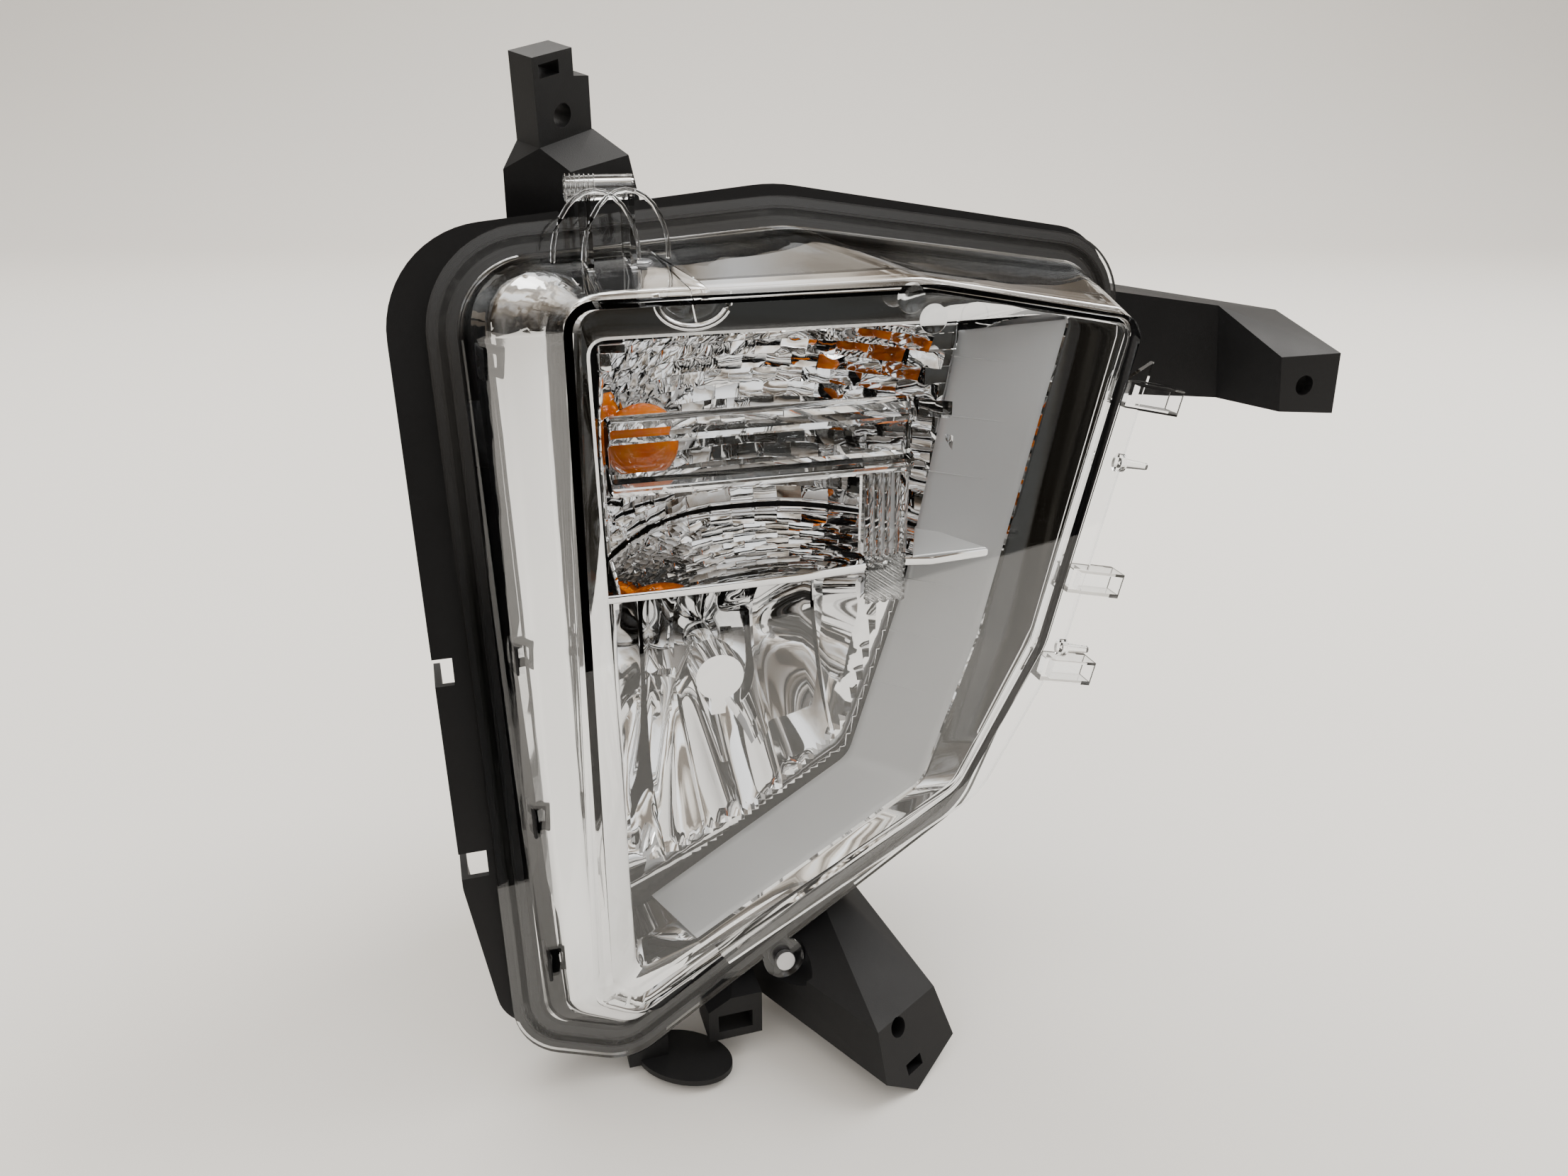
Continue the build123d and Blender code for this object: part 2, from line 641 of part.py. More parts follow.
def lens_screw():
    """Pan-head screw through the lens ear."""
    head_start = LENS_FLANGE_THICKNESS + 0.1
    head = along(JOINT, LENS_SCREW_HEAD_DIAMETER, head_start, LENS_FLANGE_THICKNESS + 3)
    shank = along(JOINT, LENS_SCREW_DIAMETER, -LENS_SCREW_LENGTH, LENS_FLANGE_THICKNESS + 1)
    return (head + shank).moved(Pos(ear_place()))


# ------------------------------------------------------- bezel, trim, blade and guide


def bezel():
    """Chrome bezel: a front frame with side walls, and a tunnel back to the reflectors."""
    outside = funnel(
        outline(front_plane(BEZEL_FRONT), FACE, -BEZEL_GAP), outline(JOINT, WALL_ROOT, -BEZEL_GAP)
    )
    inside = funnel(
        outline(front_plane(BEZEL_FRONT + BEZEL_WALL), FACE, -BEZEL_GAP - BEZEL_WALL),
        outline(JOINT, WALL_ROOT, -BEZEL_GAP - BEZEL_WALL),
    )
    tunnel = funnel(
        outline(front_plane(BEZEL_FRONT), OPENING, BEZEL_WALL),
        outline(front_plane(TUNNEL_BACK), INNER_OPENING, BEZEL_WALL),
    )
    return outside - inside + tunnel - tunnel_space(0)


def tunnel_space(inset):
    """Space inside the bezel's tunnel, made smaller by inset."""
    return funnel(
        outline(front_plane(BEZEL_FRONT - 0.01), OPENING, -inset),
        outline(front_plane(TUNNEL_BACK + 0.01), INNER_OPENING, -inset),
    )


def satin_trim():
    """Satin panel with raised ribs, lining the right side and the lower diagonal."""
    near, far = PIECE_GAP, PIECE_GAP + TRIM_THICKNESS
    lining = tunnel_space(near) - tunnel_space(far)
    rib_ring = tunnel_space(far - 0.1) - tunnel_space(far + TRIM_RIB_HEIGHT)
    for level in TRIM_RIB_LEVELS:
        z = spot(0, level)[1]
        lining += rib_ring & block((0, 150 * WIDE), (BEZEL_FRONT + 6, TUNNEL_BACK - 2), (z - 0.5, z + 0.5))
    left, _ = spot(-46, 0)
    _, top = spot(0, 73)
    lining -= block((-120 * WIDE, left), (0, 60), (-200 * TALL, 120 * TALL))
    return lining - block((-120 * WIDE, 150 * WIDE), (0, 60), (top, 120 * TALL))


def divider_blade():
    """Flat blade between the two lamps, drawn out to a free pointed fin on the right."""
    plan = [(-51, TUNNEL_BACK), (-56, BLADE_FRONT), (44, BLADE_FRONT), (82, 15), (59, TUNNEL_BACK)]
    face = make_face(Polyline(*[(x * WIDE, y) for x, y in plan], close=True))
    return extrude(Plane.XY.offset(-BLADE_THICKNESS) * face, amount=BLADE_THICKNESS)


def light_guide():
    """Clear light guide: a horizontal bar and a leg, as an inverted L."""
    bar = [spot(x, z) for x, z in ((-50, 58), (44, 58), (51, 51), (51, 1), (34, 1), (34, 33), (-50, 33))]
    face = make_face(FilletPolyline(*bar, radius=[2, 5, 5, 1, 1, 5, 2], close=True))
    back = GUIDE_FRONT + GUIDE_THICKNESS
    guide = extrude(front_plane(GUIDE_FRONT) * face, amount=GUIDE_THICKNESS, dir=(0, 1, 0))
    x, z = spot(-50, 33)
    guide += block((x, x + 4), (back, back + 9), (z, z + 25 * TALL))
    return guide


def bezel_screws():
    """Two screws through the bezel's side tabs into the housing."""
    screws = []
    for place, drop in BEZEL_SCREW_PLACES:
        x, top = spot(place, FACE_TOP)
        z = top - drop
        head_end = BEZEL_SCREW_DEPTH + 3
        head = rod((x, z), BEZEL_SCREW_HEAD_DIAMETER, BEZEL_SCREW_DEPTH, head_end)
        end = BEZEL_SCREW_DEPTH + BEZEL_SCREW_LENGTH
        screws.append(head + rod((x, z), BEZEL_SCREW_DIAMETER, head_end, end))
    return screws


# ------------------------------------------------------------------------ turn signal


def turn_reflector():
    """Trough reflector of the turn signal."""
    shell = funnel(outline(front_plane(TURN_REFLECTOR_FRONT), TURN_FRONT),
                   outline(front_plane(TURN_REFLECTOR_BACK), TURN_BACK))
    inner_back = front_plane(TURN_REFLECTOR_BACK - REFLECTOR_WALL)
    hollow = funnel(outline(front_plane(TURN_REFLECTOR_FRONT), TURN_FRONT, -REFLECTOR_WALL),
                    outline(inner_back, TURN_BACK, -REFLECTOR_WALL))
    return shell - hollow - along(TURN_PLANE, TURN_BULB_DIAMETER + 3, -4, 60)


def turn_bulb_glass():
    """Amber glass bulb with a round end and a narrow neck."""
    radius = TURN_BULB_DIAMETER / 2
    ball = Pos(TURN_PLANE.origin) * Sphere(radius)
    return ball + along(TURN_PLANE, TURN_BULB_NECK_DIAMETER - 1, 0, TURN_NECK)


def turn_bulb_base():
    """Metal bayonet base."""
    end = TURN_NECK + TURN_BULB_BASE_LENGTH
    base = along(TURN_PLANE, TURN_BULB_NECK_DIAMETER, TURN_NECK, end)
    pin_origin = TURN_PLANE.origin + TURN_PLANE.z_dir * (TURN_NECK + 9)
    pins = along(Plane(origin=pin_origin, z_dir=(0, 0, 1)), 2, -9, 9)
    return base + pins


def turn_socket():
    """Twist-in holder of the turn bulb, with a grip cap outside the housing."""
    body = along(TURN_PLANE, TURN_SOCKET_DIAMETER, TURN_SOCKET_START, TURN_SOCKET_END)
    cap = along(TURN_PLANE, TURN_SOCKET_CAP_DIAMETER, TURN_COLLAR_END + 3, TURN_SOCKET_END + 3)
    grip = TURN_PLANE * Pos(0, 0, TURN_SOCKET_END + 7) * Box(TURN_SOCKET_CAP_DIAMETER - 6, 5, 10)
    bore_diameter = TURN_BULB_NECK_DIAMETER + 2 * PIECE_GAP
    bore = along(TURN_PLANE, bore_diameter, 0, TURN_NECK + TURN_BULB_BASE_LENGTH)
    slots = TURN_PLANE * Pos(0, 0, TURN_NECK + 5) * Box(20, 3, 30)
    return body + cap + grip - bore - slots


def turn_socket_gasket():
    """Rubber ring between the holder's cap and the housing collar."""
    start = TURN_COLLAR_END + PIECE_GAP
    outer = along(TURN_PLANE, TURN_SOCKET_CAP_DIAMETER - 2, start, TURN_COLLAR_END + 3)
    return outer - along(TURN_PLANE, TURN_SOCKET_DIAMETER, TURN_COLLAR_END, TURN_COLLAR_END + 4)


# ---------------------------------------------------------------------- main reflector


def main_reflector():
    """Free-form bowl with bulb seat, position-lamp seat, pivot lugs and adjuster lug."""
    bowl = funnel(outline(front_plane(MAIN_REFLECTOR_FRONT), MAIN_FRONT),
                  outline(front_plane(MAIN_REFLECTOR_BACK), MAIN_BACK))
    inner_back = front_plane(MAIN_REFLECTOR_BACK - REFLECTOR_WALL)
    hollow = funnel(outline(front_plane(MAIN_REFLECTOR_FRONT), MAIN_FRONT, -REFLECTOR_WALL),
                    outline(inner_back, MAIN_BACK, -REFLECTOR_WALL))
    body = bowl + rod(BULB_SPOT, MAIN_BULB_BORE + 8, MAIN_REFLECTOR_BACK - 6, MAIN_REFLECTOR_BACK + 4)
    for x, z in pivot_spots():
        inward = -1 if x > BULB_SPOT[0] else 1
        reach = sorted((x, x + inward * 22))
        body += block(reach, (PIVOT_DEPTH - 4, PIVOT_DEPTH + 4), (z - 24, z - 7.5))
    x, z = AIM_SPOT
    body += block((x - 5, x + 5), (AIM_BALL_DEPTH - 5, AIM_BALL_DEPTH + 5), (z + 7.5, z + 24))
    body -= hollow
    body -= rod(BULB_SPOT, MAIN_BULB_BORE, 90, MAIN_REFLECTOR_BACK + 9)
    return body - rod(POSITION_SPOT, POSITION_SOCKET_DIAMETER + 2 * PIECE_GAP, 80, MAIN_REFLECTOR_BACK + 9)


def pivot_sockets():
    """Two nylon cups on the reflector's upper lugs."""
    cups = []
    for x, z in pivot_spots():
        cup = rod((x, z), BALL_SOCKET_DIAMETER, PIVOT_DEPTH - 6, PIVOT_DEPTH + 2)
        cup += block((x - 4, x + 4), (PIVOT_DEPTH - 4, PIVOT_DEPTH + 2), (z - 7.5, z - 4))
        cups.append(cup - Pos(x, PIVOT_DEPTH, z) * Sphere(BALL_DIAMETER / 2 + BALL_GAP))
    return cups


def aim_socket():
    """Nylon cup on the reflector's lower lug."""
    x, z = AIM_SPOT
    cup = rod((x, z), BALL_SOCKET_DIAMETER, AIM_BALL_DEPTH - 6, AIM_BALL_DEPTH + 2)
    cup += block((x - 4, x + 4), (AIM_BALL_DEPTH - 4, AIM_BALL_DEPTH + 2), (z + 4, z + 7.5))
    return cup - Pos(x, AIM_BALL_DEPTH, z) * Sphere(BALL_DIAMETER / 2 + AIM_BALL_GAP)


def pivot_studs():
    """Two ball studs pressed into the housing's posts."""
    studs = []
    for x, z in pivot_spots():
        ball = Pos(x, PIVOT_DEPTH, z) * Sphere(BALL_DIAMETER / 2)
        studs.append(ball + rod((x, z), STUD_DIAMETER, PIVOT_DEPTH, PIVOT_DEPTH + 38))
    return studs


def aim_nut():
    """Sliding nut on the aiming screw, with a ball at its front end."""
    x, z = AIM_SPOT
    ball = Pos(x, AIM_BALL_DEPTH, z) * Sphere(BALL_DIAMETER / 2)
    start = AIM_BALL_DEPTH + 9
    end = start + AIM_NUT_LENGTH
    neck = rod((x, z), STUD_DIAMETER, AIM_BALL_DEPTH, start + 1)
    body = block((x - 6, x + 6), (start, end), (z - 6, z + 6))
    return ball + neck + body - rod((x, z), SCREW_DIAMETER + PIECE_GAP, start + 1, end)


def aim_screw():
    """Aiming screw: threaded shank, collar and toothed head outside the back wall."""
    shank = rod(AIM_SPOT, SCREW_DIAMETER, AIM_BALL_DEPTH + 15, HOUSING_DEPTH + 4)
    head = rod(AIM_SPOT, SCREW_HEAD_DIAMETER, HOUSING_DEPTH + 3.3, HOUSING_DEPTH + 8)
    drive = extrude(
        Plane(origin=(AIM_SPOT[0], HOUSING_DEPTH + 8, AIM_SPOT[1]), z_dir=(0, 1, 0))
        * RegularPolygon(5, 6), amount=8)
    return shank + head + drive


# --------------------------------------------------------------------------- main bulb


def main_bulb_glass():
    """Glass tube of the main bulb with a rounded tip."""
    end = MAIN_REFLECTOR_BACK + 4
    start = end - MAIN_BULB_GLASS_LENGTH
    radius = MAIN_BULB_DIAMETER / 2
    x, z = BULB_SPOT
    tip = Pos(x, start + radius, z) * Sphere(radius)
    return rod(BULB_SPOT, MAIN_BULB_DIAMETER, start + radius, end) + tip


def main_bulb_base():
    """Metal flange and skirt of the main bulb."""
    seat = MAIN_REFLECTOR_BACK + 4
    flange = rod(BULB_SPOT, MAIN_BULB_FLANGE_DIAMETER, seat, seat + MAIN_BULB_FLANGE_THICKNESS)
    return flange + rod(BULB_SPOT, 18, seat, seat + 12)


def main_bulb_terminals():
    """Three blade terminals of the main bulb."""
    x, z = BULB_SPOT
    start = MAIN_REFLECTOR_BACK + 16
    end = start + TERMINAL_LENGTH
    half, thin = TERMINAL_WIDTH / 2, TERMINAL_THICKNESS / 2
    blades = [block((x - half, x + half), (start, end), (z + 7 - thin, z + 7 + thin))]
    for side in (-6, 6):
        middle = x + side
        blades.append(block((middle - thin, middle + thin), (start, end), (z - 3 - half, z - 3 + half)))
    return blades


SPRING_DEPTH = (
    MAIN_REFLECTOR_BACK + 4 + MAIN_BULB_FLANGE_THICKNESS + SPRING_WIRE / 2 + PIECE_GAP
)


def bulb_spring():
    """Wire spring that holds the bulb flange, hinged above the bulb."""
    x, z = BULB_SPOT
    top = z + MAIN_BULB_FLANGE_DIAMETER / 2 + 3
    bottom = top - SPRING_REACH
    half, thin = SPRING_SPAN / 2, SPRING_WIRE / 2
    depth = (SPRING_DEPTH - thin, SPRING_DEPTH + thin)
    wires = []
    for middle in (x - half, x + half):
        wires.append(block((middle - thin, middle + thin), depth, (bottom, top)))
    for level in (top, bottom):
        wires.append(block((x - half, x + half), depth, (level - thin, level + thin)))
    return sum_of(wires)


def spring_hinge():
    """Saddle on the reflector that holds the spring's upper bar."""
    x, z = BULB_SPOT
    top = z + MAIN_BULB_FLANGE_DIAMETER / 2 + 3
    half = SPRING_WIRE / 2 + 0.4
    saddle = block((x - 8, x + 8), (MAIN_REFLECTOR_BACK, SPRING_DEPTH + 3), (top - 2.5, top + 3))
    room = (SPRING_DEPTH - half, SPRING_DEPTH + half)
    return saddle - block((x - SPRING_SPAN, x + SPRING_SPAN), room, (top - half, top + half))


def bulb_shield():
    """Cup in front of the main bulb on a narrow leg."""
    x, z = BULB_SPOT
    front = MAIN_REFLECTOR_BACK + 4 - MAIN_BULB_GLASS_LENGTH - 6
    cup = rod(BULB_SPOT, SHIELD_DIAMETER, front, front + SHIELD_LENGTH)
    cup -= rod(BULB_SPOT, SHIELD_DIAMETER - 2, front + 1, front + SHIELD_LENGTH)
    leg = block((x - 3, x + 3), (front + 4, MAIN_REFLECTOR_BACK - REFLECTOR_WALL - 0.2), (z - 19, z - 18))
    link = block((x - 3, x + 3), (front + 4, front + 8), (z - 19, z - SHIELD_DIAMETER / 2 + 0.5))
    return cup + leg + link


# ----------------------------------------------------------------------- position lamp


def position_bulb():
    """Small wedge bulb of the position lamp."""
    start = MAIN_REFLECTOR_BACK - 22
    x, z = POSITION_SPOT
    radius = POSITION_BULB_DIAMETER / 2
    tip = Pos(x, start, z) * Sphere(radius)
    return rod(POSITION_SPOT, POSITION_BULB_DIAMETER, start, start + 16) + tip


def position_socket():
    """Twist-in holder of the position bulb."""
    start = MAIN_REFLECTOR_BACK - 5
    body = rod(POSITION_SPOT, POSITION_SOCKET_DIAMETER, start, start + POSITION_SOCKET_LENGTH)
    seat = MAIN_REFLECTOR_BACK + PIECE_GAP
    flange = rod(POSITION_SPOT, POSITION_SOCKET_DIAMETER + 6, seat, MAIN_REFLECTOR_BACK + 3)
    return body + flange


# ------------------------------------------------------- dust cap, vents and connector


def dust_cap():
    """Twist-on rear cap with a grip bar and three bayonet lugs."""
    inner = CAP_OPENING_DIAMETER / 2 + COLLAR_WALL + CAP_TAB_HEIGHT + CAP_RUNNING_GAP
    outer = inner + CAP_WALL
    plate_at = HOUSING_DEPTH + COLLAR_HEIGHT + 3.2
    cap = rod(BULB_SPOT, 2 * outer, HOUSING_DEPTH + 1, plate_at + CAP_WALL)
    cap -= rod(BULB_SPOT, 2 * inner, HOUSING_DEPTH, plate_at)
    lugs_at = HOUSING_DEPTH + COLLAR_HEIGHT - 3 * CAP_TAB_HEIGHT - PIECE_GAP
    lugs = cap_lugs(inner - CAP_TAB_HEIGHT + 0.2, inner + 0.5, lugs_at, lugs_at + CAP_TAB_HEIGHT, 90)
    x, z = BULB_SPOT
    grip = block((x - 32, x + 32), (plate_at, plate_at + 14), (z - 4, z + 4))
    return sum_of([cap, grip] + lugs)


def dust_cap_seal():
    """Flat ring inside the dust cap, over the end of the collar."""
    inner = CAP_OPENING_DIAMETER / 2
    outer = inner + COLLAR_WALL
    end = HOUSING_DEPTH + COLLAR_HEIGHT + 3.2
    return rod(BULB_SPOT, 2 * outer, end - 2.8, end) - rod(BULB_SPOT, 2 * inner, end - 3, end)


def vent_caps():
    """Rubber caps over the breather pipes."""
    caps = []
    for place in VENT_SPOTS:
        cap = rod(place, VENT_CAP_DIAMETER, HOUSING_DEPTH + 2, HOUSING_DEPTH + 16)
        cap -= rod(place, VENT_DIAMETER, HOUSING_DEPTH + 2, HOUSING_DEPTH + 12)
        caps.append(cap)
    return caps


def connector_header():
    """Plug-in header on the back wall."""
    x, z = HEADER_SPOT
    w, h = HEADER_WIDTH / 2, HEADER_HEIGHT / 2
    end = HOUSING_DEPTH + HEADER_LENGTH
    shell = block((x - w, x + w), (HOUSING_DEPTH, end), (z - h, z + h))
    shell -= block((x - w + HEADER_WALL, x + w - HEADER_WALL), (HOUSING_DEPTH + 4, end),
                   (z - h + HEADER_WALL, z + h - HEADER_WALL))
    for px, pz in pin_places():
        shell -= rod((px, pz), HEADER_PIN_DIAMETER, HOUSING_DEPTH - 1, HOUSING_DEPTH + 5)
    return shell


def pin_places():
    """Places of the header's contact pins, in two rows."""
    x, z = HEADER_SPOT
    middle = (HEADER_PINS / 2 - 1) / 2
    return [(x + (column - middle) * HEADER_PIN_PITCH, z + row * HEADER_ROW_OFFSET)
            for row in (-1, 1) for column in range(HEADER_PINS // 2)]


def connector_pins():
    """Contact pins of the header."""
    end = HOUSING_DEPTH + HEADER_LENGTH - 5
    return [rod(place, HEADER_PIN_DIAMETER, HOUSING_DEPTH - 6, end) for place in pin_places()]


NODES = {
    "rear_housing": rear_housing,
    "lens_seal": lens_seal,
    "outer_lens": outer_lens,
    "lens_screw": lens_screw,
    "bezel": bezel,
    "bezel_screws": bezel_screws,
    "satin_trim": satin_trim,
    "divider_blade": divider_blade,
    "light_guide": light_guide,
    "turn_reflector": turn_reflector,
    "turn_bulb_glass": turn_bulb_glass,
    "turn_bulb_base": turn_bulb_base,
    "turn_socket": turn_socket,
    "turn_socket_gasket": turn_socket_gasket,
    "main_reflector": main_reflector,
    "bulb_shield": bulb_shield,
    "main_bulb_glass": main_bulb_glass,
    "main_bulb_base": main_bulb_base,
    "main_bulb_terminals": main_bulb_terminals,
    "bulb_spring": bulb_spring,
    "spring_hinge": spring_hinge,
    "position_bulb": position_bulb,
    "position_socket": position_socket,
    "pivot_sockets": pivot_sockets,
    "pivot_studs": pivot_studs,
    "aim_socket": aim_socket,
    "aim_nut": aim_nut,
    "aim_screw": aim_screw,
    "dust_cap": dust_cap,
    "dust_cap_seal": dust_cap_seal,
    "vent_caps": vent_caps,
    "connector_header": connector_header,
    "connector_pins": connector_pins,
}


def write_parts():
    """Writes each node, moved so that the upper bolt hole is at the origin."""
    os.makedirs("parts", exist_ok=True)
    for name, make in NODES.items():
        made = make()
        solids = made if isinstance(made, list) else [made]
        moved = [solid for piece in solids for solid in piece.moved(Pos(-DATUM)).solids()]
        export_step(Compound(children=moved) if len(moved) > 1 else moved[0], f"parts/{name}.step")


write_parts()
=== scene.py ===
import json
import math
import random
import bmesh
import bpy
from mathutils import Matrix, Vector


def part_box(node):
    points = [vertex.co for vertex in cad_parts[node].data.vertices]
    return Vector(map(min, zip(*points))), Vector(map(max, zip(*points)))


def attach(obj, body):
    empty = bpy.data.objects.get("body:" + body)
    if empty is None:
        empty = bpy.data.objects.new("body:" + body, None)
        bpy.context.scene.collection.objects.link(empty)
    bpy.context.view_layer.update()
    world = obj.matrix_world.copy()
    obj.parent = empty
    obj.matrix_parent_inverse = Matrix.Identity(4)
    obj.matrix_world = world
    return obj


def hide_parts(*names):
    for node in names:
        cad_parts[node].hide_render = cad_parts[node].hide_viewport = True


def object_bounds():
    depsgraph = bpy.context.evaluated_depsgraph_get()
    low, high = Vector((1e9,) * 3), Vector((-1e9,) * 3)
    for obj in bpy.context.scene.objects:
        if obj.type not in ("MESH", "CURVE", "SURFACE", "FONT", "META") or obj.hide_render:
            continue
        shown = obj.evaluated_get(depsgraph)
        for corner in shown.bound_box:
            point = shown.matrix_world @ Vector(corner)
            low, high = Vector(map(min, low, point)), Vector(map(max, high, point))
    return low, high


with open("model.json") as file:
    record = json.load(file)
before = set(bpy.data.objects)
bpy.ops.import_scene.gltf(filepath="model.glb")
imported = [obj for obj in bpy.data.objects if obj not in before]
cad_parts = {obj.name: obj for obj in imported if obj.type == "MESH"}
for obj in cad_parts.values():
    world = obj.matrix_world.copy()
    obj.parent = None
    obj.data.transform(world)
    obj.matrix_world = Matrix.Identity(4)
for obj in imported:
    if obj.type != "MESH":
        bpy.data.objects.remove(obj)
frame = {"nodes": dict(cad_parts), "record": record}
cad_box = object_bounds()

# ---------------------------------------------------------------------------- camera
# A short-focus camera a forearm's length from the lamp, a little to its left and above
# it, looking down at the middle of the lens face.

# The lamp's own measuring point: on the lens face, level with the top of the divider
# blade, 8 mm to the right of the main bulb.  Lamp sizes below are millimetres from it.
bulb_low, bulb_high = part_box("main_bulb_base")
MEASURING_POINT = Vector((
    (bulb_low[0] + bulb_high[0]) / 2 + 0.008,
    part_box("outer_lens")[0][1],
    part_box("divider_blade")[1][2],
))


def lamp(x, y, z):
    """A place in metres from millimetres right of, behind and above the measuring point."""
    return MEASURING_POINT + Vector((x, y, z)) / 1000


CAMERA_TURN = 17.0
CAMERA_RISE = 23.0
CAMERA_DISTANCE = 400.0
turn, rise = math.radians(CAMERA_TURN), math.radians(CAMERA_RISE)
camera = bpy.data.objects.new("camera", bpy.data.cameras.new("camera"))
bpy.context.scene.collection.objects.link(camera)
camera.location = lamp(
    -CAMERA_DISTANCE * math.sin(turn) * math.cos(rise),
    -CAMERA_DISTANCE * math.cos(turn) * math.cos(rise),
    CAMERA_DISTANCE * math.sin(rise),
)
camera.rotation_euler = (math.pi / 2 - rise, 0, -turn)
SENSOR_WIDTH = 36.0
FOCAL_LENGTH = 27.0
camera.data.sensor_width = SENSOR_WIDTH
camera.data.lens = FOCAL_LENGTH
camera.data.clip_start = 0.01
bpy.context.scene.camera = camera

# ---------------------------------------------------------------- backdrop and lights
# The lamp stands on a wide sheet of matt pale paper that sweeps up behind it.  One large
# soft light hangs at the upper right and one above it, in a dim room with a pale ceiling.
PAPER_WIDTH = 9.0
PAPER_FRONT = -0.42
PAPER_BEND_START = 2.6
PAPER_BEND_RADIUS = 0.6
PAPER_HEIGHT = 0.95
BEND_STEPS = 24
floor_height = cad_box[0][2] - 0.0003
profile = [(PAPER_FRONT, 0.0)]
for step in range(BEND_STEPS + 1):
    angle = math.pi / 2 * step / BEND_STEPS
    profile.append((
        PAPER_BEND_START + PAPER_BEND_RADIUS * math.sin(angle),
        PAPER_BEND_RADIUS * (1 - math.cos(angle)),
    ))
profile.append((PAPER_BEND_START + PAPER_BEND_RADIUS, PAPER_HEIGHT))
paper_points = [(side * PAPER_WIDTH / 2, y, floor_height + z)
                for y, z in profile for side in (-1, 1)]
paper_faces = [(2 * i, 2 * i + 1, 2 * i + 3, 2 * i + 2) for i in range(len(profile) - 1)]
paper_mesh = bpy.data.meshes.new("paper")
paper_mesh.from_pydata(paper_points, [], paper_faces)
paper_mesh.polygons.foreach_set("use_smooth", [True] * len(paper_mesh.polygons))
paper = bpy.data.objects.new("paper", paper_mesh)
bpy.context.scene.collection.objects.link(paper)
paper.rotation_euler = (0, 0, -turn)


def new_material(name):
    """An empty node material; returns it with its nodes, links and output."""
    material = bpy.data.materials.new(name)
    material.use_nodes = True
    material.node_tree.nodes.clear()
    output = material.node_tree.nodes.new("ShaderNodeOutputMaterial")
    return material, material.node_tree.nodes, material.node_tree.links, output


material, nodes, links, output = new_material("paper_white")
shader = nodes.new("ShaderNodeBsdfPrincipled")
shader.inputs["Base Color"].default_value = (0.85, 0.835, 0.805, 1)
shader.inputs["Roughness"].default_value = 0.85
links.new(shader.outputs["BSDF"], output.inputs["Surface"])
paper_mesh.materials.append(material)


def soft_light(name, place, target, size, watts, colour):
    """A rectangular soft box that points at a target."""
    data = bpy.data.lights.new(name, "AREA")
    data.shape = "RECTANGLE"
    data.size, data.size_y = size
    data.energy = watts
    data.color = colour
    light = bpy.data.objects.new(name, data)
    bpy.context.scene.collection.objects.link(light)
    light.location = place
    aim = Vector(target) - Vector(place)
    light.rotation_euler = aim.to_track_quat("-Z", "Y").to_euler()
    return light


# Soft boxes: name, place from the middle of the lamp, size, watts and colour.
SOFT_BOXES = (
    ("window", (1.7, 0.3, 1.9), (1.6, 1.4), 56, (1.0, 0.99, 0.97)),
    ("ceiling", (-0.6, 1.5, 2.3), (2.4, 1.2), 48, (1.0, 0.99, 0.96)),
)
middle = lamp(20, 60, -40)
for name, place, size, watts, colour in SOFT_BOXES:
    soft_light(name, middle + Vector(place), middle, size, watts, colour)

world = bpy.data.worlds.new("room")
world.use_nodes = True
bpy.context.scene.world = world
nodes, links = world.node_tree.nodes, world.node_tree.links
nodes.clear()
direction = nodes.new("ShaderNodeTexCoord")
split = nodes.new("ShaderNodeSeparateXYZ")
height = nodes.new("ShaderNodeMapRange")
height.inputs["From Min"].default_value = -1.0
tones = nodes.new("ShaderNodeValToRGB")
things = nodes.new("ShaderNodeTexNoise")
things.inputs["Scale"].default_value = 2.6
things.inputs["Detail"].default_value = 3.0
things.inputs["Distortion"].default_value = 0.6
thing_tones = nodes.new("ShaderNodeValToRGB")
furnished = nodes.new("ShaderNodeMix")
furnished.data_type = "RGBA"
furnished.blend_type = "MULTIPLY"
background = nodes.new("ShaderNodeBackground")
world_output = nodes.new("ShaderNodeOutputWorld")
links.new(direction.outputs["Generated"], split.inputs["Vector"])
links.new(direction.outputs["Generated"], things.inputs["Vector"])
links.new(split.outputs["Z"], height.inputs["Value"])
links.new(height.outputs["Result"], tones.inputs["Fac"])
links.new(things.outputs["Fac"], thing_tones.inputs["Fac"])
links.new(tones.outputs["Color"], furnished.inputs["A"])
links.new(thing_tones.outputs["Color"], furnished.inputs["B"])
links.new(furnished.outputs["Result"], background.inputs["Color"])
links.new(background.outputs["Background"], world_output.inputs["Surface"])
furnished.inputs["Factor"].default_value = 1.0
background.inputs["Strength"].default_value = 1.0


def set_tones(ramp, tones):
    """Fills a colour ramp with (place, colour) tones."""
    elements = ramp.color_ramp.elements
    while len(elements) < len(tones):
        elements.new(0.5)
    for element, (place, tone) in zip(elements, tones):
        element.position = place
        element.color = (*tone, 1)


set_tones(tones, (
    (0.00, (0.05, 0.045, 0.04)), (0.44, (0.035, 0.035, 0.033)), (0.50, (0.06, 0.055, 0.05)),
    (0.60, (0.30, 0.27, 0.24)), (0.74, (1.5, 1.49, 1.47)), (1.00, (2.0, 1.98, 1.95)),
))
set_tones(thing_tones, (
    (0.40, (0.16, 0.13, 0.10)), (0.48, (0.8, 0.72, 0.62)), (0.58, (1.2, 1.2, 1.2)),
))

# ----------------------------------------------------------------------- rear housing
# Black glass-filled polypropylene moulding: chamber, glue channel, outer wing, tab,
# two arms and foot in one.  Its edges are rounded by the mould, its faces finely grained.


